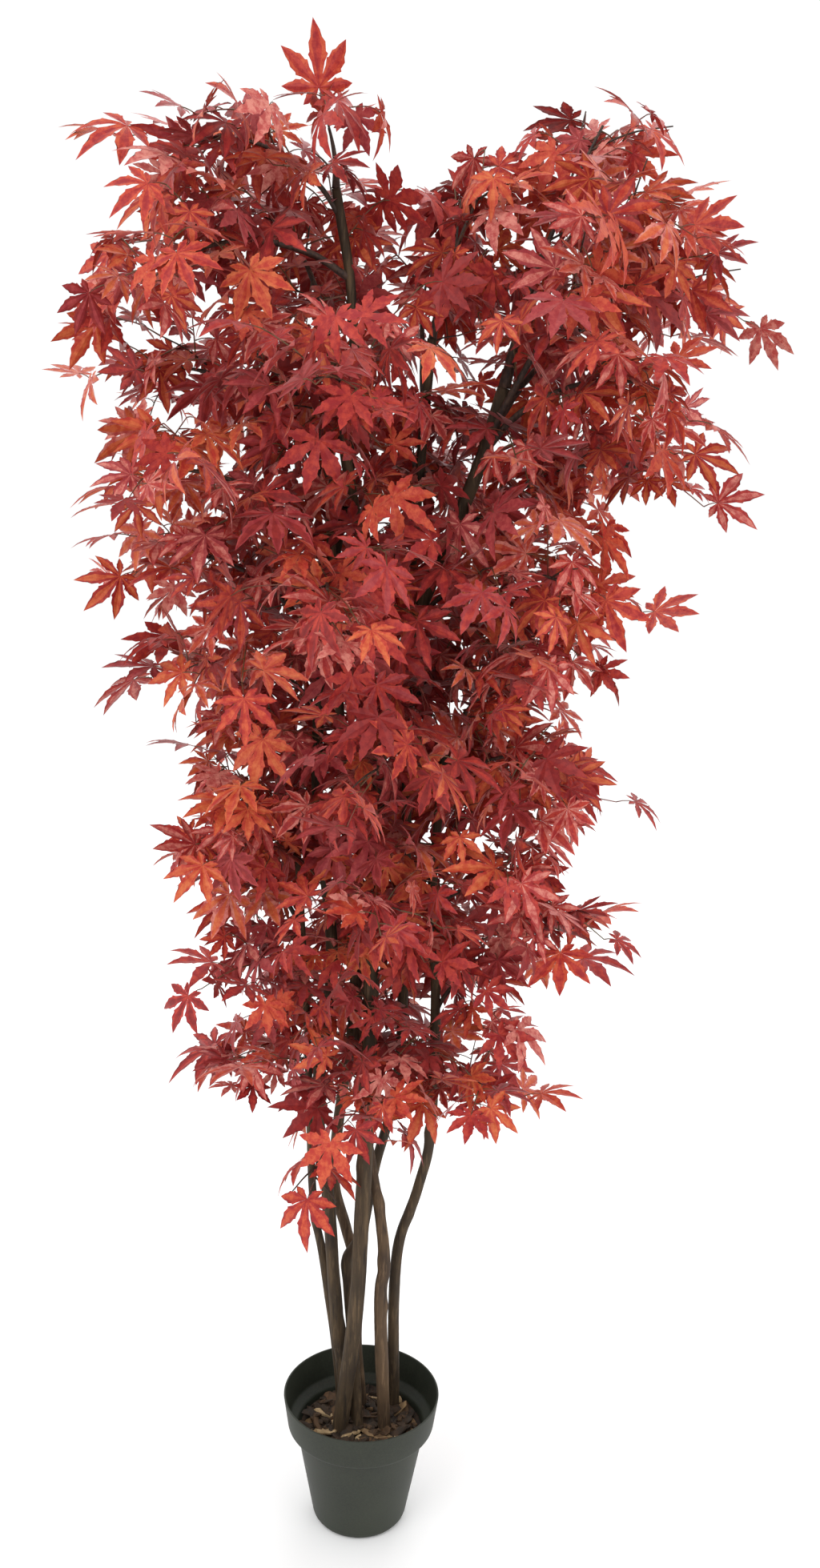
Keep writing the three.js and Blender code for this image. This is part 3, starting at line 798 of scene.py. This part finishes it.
def leaderSprays():
    sprays = []
    for i, (name, stem) in enumerate(stems.items()):
        leader = stem["leader"]
        plan = {"name": name.replace("stem", "leader"), "side": "leader"}
        plan.update(root=stemLines[name][-1])
        plan.update(azimuth=leader["azimuth"] * degree, slope=leader["slope"] * degree)
        plan.update(length=leader["length"] * mm, bare=crownSettings["leaderBare"])
        plan.update(seed=seeds["leaders"] + i, onBough=False, stemRadius=stem["radii"][1] * mm)
        sprays.append(plan)
    return sprays


def lowSprigSpray():
    root = stemAt(lowSprig["stem"], lowSprig["height"] * mm)
    plan = {"name": "low_sprig", "root": root, "side": "low", "onBough": False}
    plan.update(azimuth=lowSprig["azimuth"] * degree, slope=lowSprig["slope"] * degree)
    plan.update(length=lowSprig["length"] * mm, bare=lowSprig["bare"], seed=seeds["lowSprig"])
    return plan


sprays = [growSpray(plan) for plan in leaderSprays() + tierSprays() + [lowSprigSpray()]]
print("stage: sprays grown,", sum(len(spray["sites"]) for spray in sprays), "sites")


# wood of the sprays: boughs and spines of wrapped wire, and thin twigs

woodSettings = {
    "boughRadii": (4.4 * mm, 3.2 * mm),
    "spineRadii": (3.2 * mm, 1.5 * mm),
    "twigRadii": (1.3 * mm, 0.8 * mm),
    # sides round a limb, and rings along it
    "boughSides": 12,
    "boughRings": 30,
    "spineSides": 8,
    "spineRings": 34,
    "twigSides": 6,
    "twigRings": 8,
    "relief": {"around": 1.5, "along": 70, "depth": 0.16},
    "sag": 0.06,  # how far a twig bows, as a share of its length
    "leaderFoot": 0.95,  # as a share of its stem's tip radius
}


def wireRelief(seed):
    rough = woodSettings["relief"]

    def relief(turn, away):
        x, y = math.cos(turn) * rough["around"], math.sin(turn) * rough["around"]
        return rough["depth"] * noise.noise(Vector((x + seed, y, away * rough["along"])))

    return relief


def addSpine(sheaf, spray, start, end, kind):  # kind is bough or spine
    rings = woodSettings[kind + "Rings"]
    foot, tip = woodSettings[kind + "Radii"]
    shares = evenly(rings, start, end)
    line = [smoothPoint(spray["spine"], share) for share in shares]
    thickness = evenly(rings, foot, tip)
    if start == 0 and "stemRadius" in spray:  # a leader carries on from the tip of its stem
        extra = spray["stemRadius"] * woodSettings["leaderFoot"] - foot
        for i in range(rings):
            thickness[i] += extra * (1 - i / (rings - 1)) ** 3
    relief = wireRelief(spray["seed"])
    addLimb(sheaf, line, thickness, woodSettings[kind + "Sides"], relief)


def addTwig(sheaf, start, end):
    bow = (end - start).length * woodSettings["sag"]
    middle = start.lerp(end, 0.5) + up * bow
    rings = woodSettings["twigRings"]
    line = [smoothPoint([start, middle, end], t) for t in evenly(rings, 0, 1)]
    addLimb(sheaf, line, evenly(rings, *woodSettings["twigRadii"]), woodSettings["twigSides"])


def makeWood():
    spines, twigs = Sheaf(), Sheaf()
    for spray in sprays:
        first = 0
        if spray["onBough"]:
            first = boughShare
            bough = Sheaf()
            addSpine(bough, spray, 0, boughShare, "bough")
            node = spray["name"].replace("spray", "bough")
            makePiece(node + "_wire", bough, [wrappedWire], [node])
        addSpine(spines, spray, first, 1, "spine")
        for start, end in spray["twigs"]:
            addTwig(twigs, start, end)
    makePiece("spines", spines, [wrappedWire])
    makePiece("twigs", twigs, [wrappedWire])


makeWood()
print("stage: boughs, spines and twigs")


# leaves: seven toothed lobes round the end of the petiole, each folded along its midrib

leafSettings = {
    "blade": 48 * mm,  # the middle lobe
    # each lobe's turn from the middle one, its reach and its half width
    "lobes": [(0, 1.0, 0.165), (43, 0.92, 0.158), (87, 0.68, 0.128), (130, 0.38, 0.09)],
    "sinus": 0.21,
    "heel": (158, 0.09),  # where the blade's back edge meets the petiole: its turn and reach
    "midrib": (0.3, 0.56, 0.8),
    "inner": ((0.3, 0.22), (0.56, 0.5), (0.8, 0.3)),  # the edge of the print along a midrib
    "teeth": ((0.33, 0.58), (0.48, 0.97), (0.65, 0.84), (0.82, 0.46)),
    "toothDepth": 0.07,
    "notch": (0.035, 0.35),  # how far past a tooth it lies, and how far over to the next one's width
    "fold": (0.06, 0.3),
    "droop": (-0.02, 0.3),
    "curl": (0.0, 0.14),
    "variants": 12,
    "spreads": {"turn": 8, "reach": 0.16, "width": 0.24, "twist": 0.5, "sag": 0.36},
}
sideLobes = len(leafSettings["lobes"])  # the middle one counted with each side


# one half of a lobe: points in the leaf's own plane, its faces, and which faces are the inner print
def halfLobe(turn, reach, width, side, sinus):
    along = np.array((math.cos(turn), math.sin(turn)))
    across = side * np.array((-along[1], along[0]))

    def spot(share, wide):
        return along * share * reach + across * wide * width

    points = [np.zeros(2)] + [spot(share, 0) for share in leafSettings["midrib"]] + [spot(1, 0)]
    points += [spot(share, wide) for share, wide in leafSettings["inner"]]
    points.append(sinus)
    depth, teeth = leafSettings["toothDepth"], leafSettings["teeth"]
    past, over = leafSettings["notch"]
    for i, (share, wide) in enumerate(teeth):
        points.append(spot(share, wide * (1 + depth)))
        if i + 1 < len(teeth):
            between = wide * (1 - over) + teeth[i + 1][1] * over
            points.append(spot(share + past, between * (1 - depth)))
    inner = [(0, 1, 5), (1, 2, 6, 5), (2, 3, 7, 6), (3, 4, 7)]
    outer = [(0, 5, 8), (5, 9, 8), (5, 10, 9), (5, 6, 10), (6, 11, 10), (6, 12, 11), (6, 7, 12)]
    outer += [(7, 13, 12), (7, 14, 13), (7, 15, 14), (7, 4, 15)]
    faces = inner + outer
    if side < 0:
        faces = [tuple(reversed(face)) for face in faces]
    return points, faces, [1] * len(inner) + [0] * len(outer)


def leafShape(seed):
    random = Draws(seed)
    spreads = leafSettings["spreads"]
    lobes = []
    for sign in (1, -1):
        for turn, reach, width in leafSettings["lobes"]:
            side = (turn + random.spread(spreads["turn"]) * (turn > 0)) * degree * sign
            size = reach * (1 + random.spread(spreads["reach"]))
            lobes.append((sign, side, size, width * (1 + random.spread(spreads["width"]))))
    lobes[sideLobes] = (-1, *lobes[0][1:])  # both halves of the middle lobe are alike
    fold, droop, curl = (random.between(*leafSettings[part]) for part in ("fold", "droop", "curl"))
    twist = random.spread(spreads["twist"])
    sags = [random.spread(spreads["sag"]) for _ in lobes]
    sags[sideLobes] = sags[0]
    points, faces, zones = [], [], []
    heelTurn, heelReach = leafSettings["heel"]
    for number, (sign, turn, reach, width) in enumerate(lobes):
        for side in (1, -1):
            outward = side * sign > 0
            if number % sideLobes == 0 and not outward:
                continue
            step = 1 if outward else -1
            if number % sideLobes + step == sideLobes:
                sinusTurn, sinusReach = heelTurn * degree * sign, heelReach
            else:
                other = lobes[number + step]
                sinusTurn = (turn + other[1]) / 2
                sinusReach = leafSettings["sinus"] * (reach + other[2]) / 2
            sinus = sinusReach * np.array((math.cos(sinusTurn), math.sin(sinusTurn)))
            flat, shapeFaces, shapeZones = halfLobe(turn, reach, width, side, sinus)
            along = np.array((math.cos(turn), math.sin(turn)))
            start = len(points)
            for spot in flat:
                away = math.hypot(*spot)
                off = abs(spot[0] * along[1] - spot[1] * along[0])
                height = fold * off - droop * away**2 - curl * away**4 + sags[number] * away**2
                height += twist * spot[0] * spot[1]
                points.append((spot[0], spot[1], height))
            faces += [tuple(start + corner for corner in face) for face in shapeFaces]
            zones += shapeZones
    return np.array(points), faces, zones


leafShapes = [leafShape(seeds["leaves"] + i) for i in range(leafSettings["variants"])]


# where leaves hang: a fine twig at each place where the solids try a leaf, also where it found no
# room there, and each one grows to where there is room here.
# A tip stands at the end of a spray, the top at the tree's highest point, an end at the end of a
# twig or leader, a side beside a twig, an across on the spine; risers and shoots are added.

fineRule = {
    "lengths": {
        "tip": 76 * mm,
        "top": 12 * mm,
        "end": 60 * mm,
        "across": 66 * mm,
        "side": 56 * mm,
        "riser": 84 * mm,
        "shoot": 84 * mm,
    },
    "lengthRange": (0.75, 1.25),
    # how steeply each kind of fine twig may rise or hang, from its own foot
    "lifts": {
        "tip": (-40 * degree, 6 * degree),
        "top": (78 * degree, 88 * degree),
        "end": (-40 * degree, 30 * degree),
        "across": (-40 * degree, 60 * degree),
        "side": (-48 * degree, 55 * degree),
        "riser": (-62 * degree, 72 * degree),
        "shoot": (-35 * degree, 60 * degree),
    },
    # the leaves of a fine twig: how far along it each stands, and its turn aside in fans
    "leaves": {
        "tip": ((1, 0), (0.7, 1.1), (0.4, -1.1)),
        "top": ((1, 0), (0.5, 1.5), (0.2, -1.4)),
        "end": ((1, 0), (0.8, 1.1), (0.55, -1.1), (0.3, 1.2)),
        "across": ((1, 0), (0.75, 1.1), (0.5, -1.2), (0.2, 1.3)),
        "side": ((1, 0), (0.75, -1.1), (0.45, 1.2)),
        "riser": ((1, 0), (0.8, 1.1), (0.6, -1.1), (0.4, 1.2), (0.2, -1.3)),
        "shoot": ((1, 0), (0.8, 1.1), (0.6, -1.1), (0.4, 1.3), (0.2, -1.2)),
    },
    "tries": 7,
    "turnSpread": 90 * degree,
    "bend": 8 * degree,  # steeper than its mean at the foot, flatter at the end
    # this spray's tip twig is set longer, as it alone comes near the solids' side at +X
    "farthest": {"right_spray_10": 28 * mm},
    "beyond": 45 * mm,  # how far past the end of its spray's spine a fine twig may reach
    "lowest": 590 * mm,  # a fine twig hangs no lower and climbs no higher than these
    "highest": 1730 * mm,
    "shoulder": 280 * mm,  # further out than this the crown's top falls away
    "fall": 1.3,
    "enough": 62 * mm,  # a fine twig doesn't look for more room than this
    "fan": 56 * degree,
    "fanSpread": 30 * degree,
    "radii": (1.0 * mm, 0.65 * mm),
    "rings": 6,
    "sides": 5,
    "pitches": (-72 * degree, 22 * degree),
    "rolls": 130 * degree,
    "sizes": (0.7, 1.24),
    "crest": {"turn": -112 * degree, "pitch": 82 * degree, "size": 1.3},  # the topmost leaf
    "besideCrest": 40 * degree,  # how much further over the leaves under it lean
    "apart": 25 * mm,  # least distance between the middles of two leaves
    "stemClearance": 19 * mm,
    "stemSpots": 90,  # places along each stem that leaves keep clear of
    "mostLeaves": 8000,
}
riserRule = {
    "spacing": {"lower": 41 * mm, "upper": 58 * mm},
    "start": 0.14,  # as shares of the spray's length
    "end": 0.9,
    "turn": 40 * degree,
}
petioleRule = {
    "lengths": (12 * mm, 28 * mm),
    "radii": (0.7 * mm, 0.5 * mm),
    "rings": 4,
    "sides": 4,
    "lift": 10 * degree,  # steeper than half the leaf's pitch
    "bow": 0.08,
    # turns and lifts that are tried one by one, in degrees, until the leaf has room
    "ways": [(0, 0), (28, -10), (-28, -10), (0, -26), (50, -18), (-50, -18), (0, 24)],
    "pitches": (-80 * degree, 84 * degree),
    "middle": 0.4,  # where a leaf's middle is, as a share of its blade
}
shootRule = {
    "lowest": 640,
    "spacing": 42,
    "heightSpread": 30,
    "fromTip": 60,
    "fewest": 2,
    "sizes": (0.8, 1.5),
    "turn": spiralTurn,
}


class Thicket:  # the middles of all leaves so far
    def __init__(self, most):
        self.spots = np.zeros((most, 3))
        self.count = 0

    def claim(self, spot):
        self.spots[self.count] = spot
        self.count += 1

    def nearest(self, spot):
        if not self.count:
            return math.inf
        offsets = self.spots[: self.count] - np.array(spot)
        return math.sqrt(np.min(np.sum(offsets**2, axis=1)))


thicket = Thicket(fineRule["mostLeaves"])
stemShares = evenly(fineRule["stemSpots"], 0, 1)
stemSpots = np.array([smoothPoint(line, t) for line in stemLines.values() for t in stemShares])


def clearOfStems(spot):
    squares = np.sum((stemSpots - np.array(spot)) ** 2, axis=1)
    return np.min(squares) > fineRule["stemClearance"] ** 2


def leafMatrix(azimuth, pitch, roll, size):
    along = heading(azimuth, pitch)
    across = Vector((-math.sin(azimuth), math.cos(azimuth), 0))
    across.rotate(Matrix.Rotation(roll, 3, along))
    return np.array([along * size, across * size, along.cross(across) * size])


def addLeaf(leaves, petioles, foot, azimuth, pitch, roll, size, tints, random):
    length = random.between(*petioleRule["lengths"]) * size
    blade = leafSettings["blade"] * size
    for turn, lift in petioleRule["ways"]:
        leafAzimuth = azimuth + turn * degree
        leafPitch = clamp(pitch + lift * degree, *petioleRule["pitches"])
        hub = foot + heading(leafAzimuth, leafPitch * 0.5 + petioleRule["lift"]) * length
        middle = hub + heading(leafAzimuth, leafPitch) * blade * petioleRule["middle"]
        if thicket.nearest(middle) > fineRule["apart"] and clearOfStems(middle):
            break
    else:
        return 0
    thicket.claim(middle)
    points, faces, zones = random.pick(*leafShapes)
    turned = points @ leafMatrix(leafAzimuth, leafPitch, roll, blade) + np.array(hub)
    leaves.add(turned.tolist(), faces, [tintNames.index(tints[zone]) for zone in zones])
    knee = foot.lerp(hub, 0.5) + up * length * petioleRule["bow"]
    rings = petioleRule["rings"]
    line = [smoothPoint([foot, knee, hub], t) for t in evenly(rings, 0, 1)]
    addLimb(petioles, line, evenly(rings, *petioleRule["radii"]), petioleRule["sides"])
    return 1


# which colours a fine twig's leaves have, ground and print: dark next to the stems, as painted shade
# inside the crown, and warm outside, lighter there as painted light
tintRule = {
    "inside": 60 * mm,  # up to here from the tree's axis is next to the stems
    "depth": 190 * mm,  # and so much further out is outside
    "paintedShadeShares": (0.5, 0.42),  # of dark leaves inside, as painted shade, and how many fewer there are outside
    "dark": (("maroon", "wine", "crimson"), ("crimson", "maroon", "wine")),
    # of the others: the share up to each ground, and its prints
    "grounds": (
        (0.40, "crimson", ("scarlet", "crimson", "orange", "rose")),
        (0.64, "scarlet", ("orange", "scarlet", "crimson")),
        (0.84, "rose", ("crimson", "scarlet", "rose", "orange")),
        (0.88, "orange", ("scarlet",)),
        (1, "wine", ("crimson", "rose", "scarlet")),
    ),
}


# painted shade: a dark pair is likelier next to the stems, so the leaves further out are lighter
def tintsFor(outwards, random):
    inside, fewer = tintRule["paintedShadeShares"]
    if random() < inside - fewer * outwards:
        ground, glow = tintRule["dark"]
        return random.pick(*ground), random.pick(*glow)
    kind = random()
    ground, glow = next(pair[1:] for pair in tintRule["grounds"] if kind < pair[0])
    return ground, random.pick(*glow) if len(glow) > 1 else glow[0]


# of a few ways a fine twig could grow, the one whose end has most room
def roomiest(kind, foot, azimuth, length, limit, random):
    highest = fineRule["highest"]
    if kind in ("tip", "top"):
        limit = highest = math.inf
    ways = []
    for number in range(fineRule["tries"]):
        turn = azimuth + random.spread(fineRule["turnSpread"])
        lift = random.between(*fineRule["lifts"][kind])
        end = foot + heading(turn, lift) * (length + petioleRule["lengths"][0])
        room = min(thicket.nearest(end), fineRule["enough"])
        away = math.hypot(end.x, end.y)
        ceiling = highest - max(away - fineRule["shoulder"], 0) * fineRule["fall"]
        inReach = fineRule["lowest"] < end.z < ceiling and away < limit
        if not inReach or not clearOfStems(end):
            room = 0
        ways.append((room, number, turn, lift))
    return max(ways)


def growFineTwig(kind, leaves, petioles, foot, azimuth, size, limit, random, extra=0):
    length = fineRule["lengths"][kind] * size * random.between(*fineRule["lengthRange"]) + extra
    room, _, azimuth, lift = roomiest(kind, foot, azimuth, length, limit, random)
    if room < fineRule["apart"]:
        return 0
    bend = fineRule["bend"]
    knee = foot + heading(azimuth, lift + bend) * length * 0.5
    end = knee + heading(azimuth, lift - bend) * length * 0.5
    rings = fineRule["rings"]
    line = [smoothPoint([foot, knee, end], t) for t in evenly(rings, 0, 1)]
    addLimb(petioles, line, evenly(rings, *fineRule["radii"]), fineRule["sides"])
    away = math.hypot(foot.x, foot.y) - tintRule["inside"]
    outwards = clamp(away / tintRule["depth"], 0, 1)
    tints = tintsFor(outwards, random)
    placed = 0
    for share, fan in fineRule["leaves"][kind]:
        start = smoothPoint([foot, knee, end], share)
        turn = azimuth + fan * fineRule["fan"] + random.spread(fineRule["fanSpread"])
        tilt = random.between(*fineRule["pitches"])
        if kind == "top":
            tilt = lift - abs(fan) * fineRule["besideCrest"]
        lean = random.spread(fineRule["rolls"])
        scale = min(size, 1) * random.between(*fineRule["sizes"])
        if kind == "top" and not fan:
            crest = fineRule["crest"]
            turn, tilt, lean, scale = crest["turn"], crest["pitch"], 0, crest["size"]
        pair = tints if random() < 0.5 else tintsFor(outwards, random)
        placed += addLeaf(leaves, petioles, start, turn, tilt, lean, scale, pair, random)
    return placed


def storeyOf(spray):
    return "upper" if spray["root"].z > crownSettings["storeyHeight"] else "lower"


# fine twigs that start from a spray's own spine, on alternate sides
def riserFeet(spray, random):
    start, span = riserRule["start"], riserRule["end"] - riserRule["start"]
    count = max(1, round(spray["length"] * span / riserRule["spacing"][storeyOf(spray)]))
    for i in range(count):
        share = start + span * (i + random()) / count
        side = 1 if i % 2 else -1
        yield smoothPoint(spray["spine"], share), spray["azimuth"] + side * riserRule["turn"]


def hangLeaves(spray, leaves, petioles):
    random = Draws(seeds["leaves"] + spray["seed"])
    tip = spray["spine"][-1]
    limit = math.hypot(tip.x, tip.y) + fineRule["beyond"]
    placed = 0
    for site in spray["sites"]:
        kind = site["kind"]
        extra = fineRule["farthest"].get(spray["name"], 0) if kind == "tip" else 0
        pose = site["point"], site["azimuth"], site["size"], limit
        placed += growFineTwig(kind, leaves, petioles, *pose, random, extra)
    for foot, azimuth in riserFeet(spray, random):
        placed += growFineTwig("riser", leaves, petioles, foot, azimuth, 1, limit, random)
    return placed


# a few leaves low on a stem
def hangLowLeaves(spray, leaves, petioles):
    random = Draws(seeds["leaves"] + spray["seed"])
    placed = 0
    for share, azimuth, pitch, roll, size in lowSprig["leaves"]:
        pose = azimuth * degree, pitch * degree, roll * degree, size
        foot = smoothPoint(spray["spine"], share)
        placed += addLeaf(leaves, petioles, foot, *pose, lowSprig["tints"], random)
    return placed


# short leafy shoots fill the inside of the crown along every stem
def hangShoots(leaves, petioles):
    placed = 0
    for number, (name, line) in enumerate(stemLines.items()):
        random = Draws(seeds["shoots"] + number)
        lowest, top = shootRule["lowest"], line[-1].z / mm - shootRule["fromTip"]
        count = max(shootRule["fewest"], round((top - lowest) / shootRule["spacing"]))
        for i, height in enumerate(evenly(count, lowest, top)):
            foot = stemAt(name, (height + random.spread(shootRule["heightSpread"])) * mm)
            azimuth = i * shootRule["turn"] + number
            pose = foot, azimuth, random.between(*shootRule["sizes"]), math.inf
            placed += growFineTwig("shoot", leaves, petioles, *pose, random)
    return placed


def makeLeaves():
    petioles = Sheaf()
    counts = {}
    groups = {"low_sprig": [], "leader": []}
    for spray in sprays:
        if spray["side"] in ("low", "leader"):
            label = "low_sprig" if spray["side"] == "low" else "leader"
        else:
            label = storeyOf(spray) + "_" + spray["side"]
        groups.setdefault(label, []).append(spray)
    for label, members in groups.items():
        leaves = Sheaf()
        hang = hangLowLeaves if label == "low_sprig" else hangLeaves
        counts[label] = sum(hang(spray, leaves, petioles) for spray in members)
        nodes = [spray["name"] for spray in members]
        makePiece(label + "_leaves", leaves, leafTints.values(), nodes)
    leaves = Sheaf()
    counts["inner"] = hangShoots(leaves, petioles)
    makePiece("inner_leaves", leaves, leafTints.values())
    makePiece("petioles", petioles, [petiolePlastic])
    return counts


print("stage: leaves,", makeLeaves())


# pot, filling and bark chips

potSettings = {
    "height": 180 * mm,
    "rimRadius": 100.5 * mm,
    "collarHeight": 44 * mm,
    "collarDraft": 5 * mm,
    "collarStep": 12 * mm,
    "shoulder": 4 * mm,
    "footRadius": 60 * mm,
    "footRound": 9 * mm,
    "wall": 2.3 * mm,
    "floorThickness": 3.5 * mm,
    "middleHole": 4 * mm,
    "collarTuck": 1 * mm,  # how far the collar's foot is drawn in
    "rounds": {"body": 4 * mm, "lip": 1 * mm, "ledge": 3 * mm, "floor": 4 * mm},
    "segments": 160,
}
chipSettings = {
    "count": 330,
    "reach": 79 * mm,
    "inset": 0.35,  # a chip's middle keeps so much of its length inside the reach
    "floor": 127 * mm,
    "rise": 11 * mm,  # of the highest chips in the middle
    "mound": (1.1, 0.5),  # shares of the rise: in the middle, and how much less at the edge
    "lengths": (13 * mm, 40 * mm),
    "shortness": 1.6,  # above 1 there are more short chips than long ones
    "widths": (0.28, 0.6),  # as shares of the length
    "thickness": (2 * mm, 5 * mm),
    "tilt": 34 * degree,
    "corners": 8,
    "cornerSpread": 0.5,
    "bluntness": (0.82, 1.18),
    "bend": 10,
    # height as a share of the thickness, and size, from the underside up
    "layers": ((-0.5, 0.86), (0.1, 1.0), (0.5, 0.8)),
    "roughness": 0.25,
    "crown": 0.4,
    "mix": (0, 1, 1, 1, 0, 1, 2, 0, 1, 1, 0, 1, 1, 0, 3, 1),  # of chipFinishes
    "groundRings": 10,
    "groundSegments": 48,
    "seed": 11,
}
floorSettings = {"radii": (0.001, 0.5, 2, 8, 40), "segments": 96}


def lathe(sheaf, profile, segments):
    points = []
    for radius, height in profile:
        for k in range(segments):
            turn = 2 * math.pi * k / segments
            points.append((radius * math.cos(turn), radius * math.sin(turn), height))
    faces = []
    for i in range(len(profile) - 1):
        for k in range(segments):
            a, b = i * segments + k, i * segments + (k + 1) % segments
            faces.append((a, b, b + segments, a + segments))
    sheaf.add(points, faces, [0] * len(faces))


def rounded(corner, before, after, radius, count=5):  # points of an arc in place of a corner
    corner, before, after = (np.array(p, float) for p in (corner, before, after))
    start = corner + (before - corner) / np.linalg.norm(before - corner) * radius
    end = corner + (after - corner) / np.linalg.norm(after - corner) * radius
    shares = evenly(count, 0, 1)
    return [tuple(start * (1 - t) ** 2 + corner * 2 * t * (1 - t) + end * t * t) for t in shares]


def makePot():
    pot, rounds = potSettings, potSettings["rounds"]
    wall, height, rim = pot["wall"], pot["height"], pot["rimRadius"]
    collarFoot = height - pot["collarHeight"]
    bodyTop = collarFoot - pot["shoulder"]
    collarRadius = rim - pot["collarDraft"]
    bodyRadius = collarRadius - pot["collarStep"]
    ledge = bodyTop + pot["shoulder"] / 2
    corners = [
        ((pot["middleHole"], 0), 0),
        ((pot["footRadius"], 0), pot["footRound"]),
        ((bodyRadius, bodyTop), rounds["body"]),
        ((collarRadius - pot["collarTuck"], collarFoot), rounds["body"]),
        ((rim, height), rounds["lip"]),
        ((rim - wall, height), rounds["lip"]),
        ((collarRadius - wall, collarFoot + pot["shoulder"]), rounds["ledge"]),
        ((bodyRadius - wall, ledge), rounds["ledge"]),
        ((pot["footRadius"] - wall, pot["footRound"]), rounds["floor"]),
        ((pot["middleHole"], pot["floorThickness"]), 0),
    ]
    profile = []
    for i, (corner, radius) in enumerate(corners):
        if radius:
            profile += rounded(corner, corners[i - 1][0], corners[i + 1][0], radius)
        else:
            profile.append(corner)
    sheaf = Sheaf()
    lathe(sheaf, profile, pot["segments"])
    makePiece("nursery_pot", sheaf, [potPlastic], ["pot"])


def chipShape(random, length, width, thickness):
    chip = chipSettings
    count = chip["corners"]
    bend = random.spread(chip["bend"])
    outline = []
    for k in range(count):
        turn = 2 * math.pi * (k + random.spread(chip["cornerSpread"])) / count
        blunt = 0.5 * random.between(*chip["bluntness"])
        outline.append((length * blunt * math.cos(turn), width * blunt * math.sin(turn)))
    points = []
    for level, grow in chip["layers"]:
        for x, y in outline:
            rough = random.spread(chip["roughness"]) * thickness
            points.append((x * grow, y * grow, level * thickness + rough + bend * x * x))
    points.append((0, 0, -0.5 * thickness))
    points.append((0, 0, (0.5 + random.spread(chip["crown"])) * thickness))
    faces = []
    for k in range(count):
        following = (k + 1) % count
        for level in (0, count):
            a, b = level + k, level + following
            faces.append((a, b, b + count, a + count))
        faces.append((following, k, 3 * count))
        faces.append((2 * count + k, 2 * count + following, 3 * count + 1))
    return np.array(points), faces


def addGround(sheaf, finish):  # a flat round sheet under the chips
    rings, segments = chipSettings["groundRings"], chipSettings["groundSegments"]
    radii = [max(radius, 2 * mm) for radius in evenly(rings, 0, chipSettings["reach"])]
    lathe(sheaf, [(radius, chipSettings["floor"] - 1 * mm) for radius in radii], segments)
    count = (rings - 1) * segments
    sheaf.slots[-count:] = [finish] * count


def makeChips():
    chip = chipSettings
    random = Draws(chip["seed"])
    sheaf = Sheaf()
    shortest, longest = chip["lengths"]
    middle, less = chip["mound"]
    for i in range(chip["count"]):
        length = shortest + (longest - shortest) * random() ** chip["shortness"]
        width = length * random.between(*chip["widths"])
        points, faces = chipShape(random, length, width, random.between(*chip["thickness"]))
        turn = i * spiralTurn
        furthest = chip["reach"] - length * chip["inset"]
        away = furthest * math.sqrt((i + 0.5) / chip["count"])
        height = chip["floor"] + chip["rise"] * random() * (middle - less * away / furthest)
        tilts = [random.spread(2 * chip["tilt"]) for _ in range(2)]
        spin = Matrix.Rotation(random() * 2 * math.pi, 3, "Z")
        pose = spin @ Matrix.Rotation(tilts[0], 3, "X") @ Matrix.Rotation(tilts[1], 3, "Y")
        place = np.array((away * math.cos(turn), away * math.sin(turn), height))
        finish = random.pick(*chip["mix"])
        sheaf.add((points @ np.array(pose).T + place).tolist(), faces, [finish] * len(faces))
    addGround(sheaf, 1)
    piece = makePiece("bark_chip_layer", sheaf, chipFinishes, ["bark_chips"])
    piece.data.polygons.foreach_set("use_smooth", [False] * len(piece.data.polygons))


def dressFilling():
    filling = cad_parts["pot_filling"]
    filling.data.materials.clear()
    filling.data.materials.append(cement.material)


def makeFloor():
    sheaf = Sheaf()
    lathe(sheaf, [(radius, 0) for radius in floorSettings["radii"]], floorSettings["segments"])
    mesh = bpy.data.meshes.new("floor")
    mesh.from_pydata(sheaf.points, [], sheaf.faces)
    mesh.materials.append(floorFinish().material)
    floor = bpy.data.objects.new("floor", mesh)
    bpy.context.scene.collection.objects.link(floor)


makePot()
makeChips()
dressFilling()
makeFloor()
print("stage: pot, chips and floor")
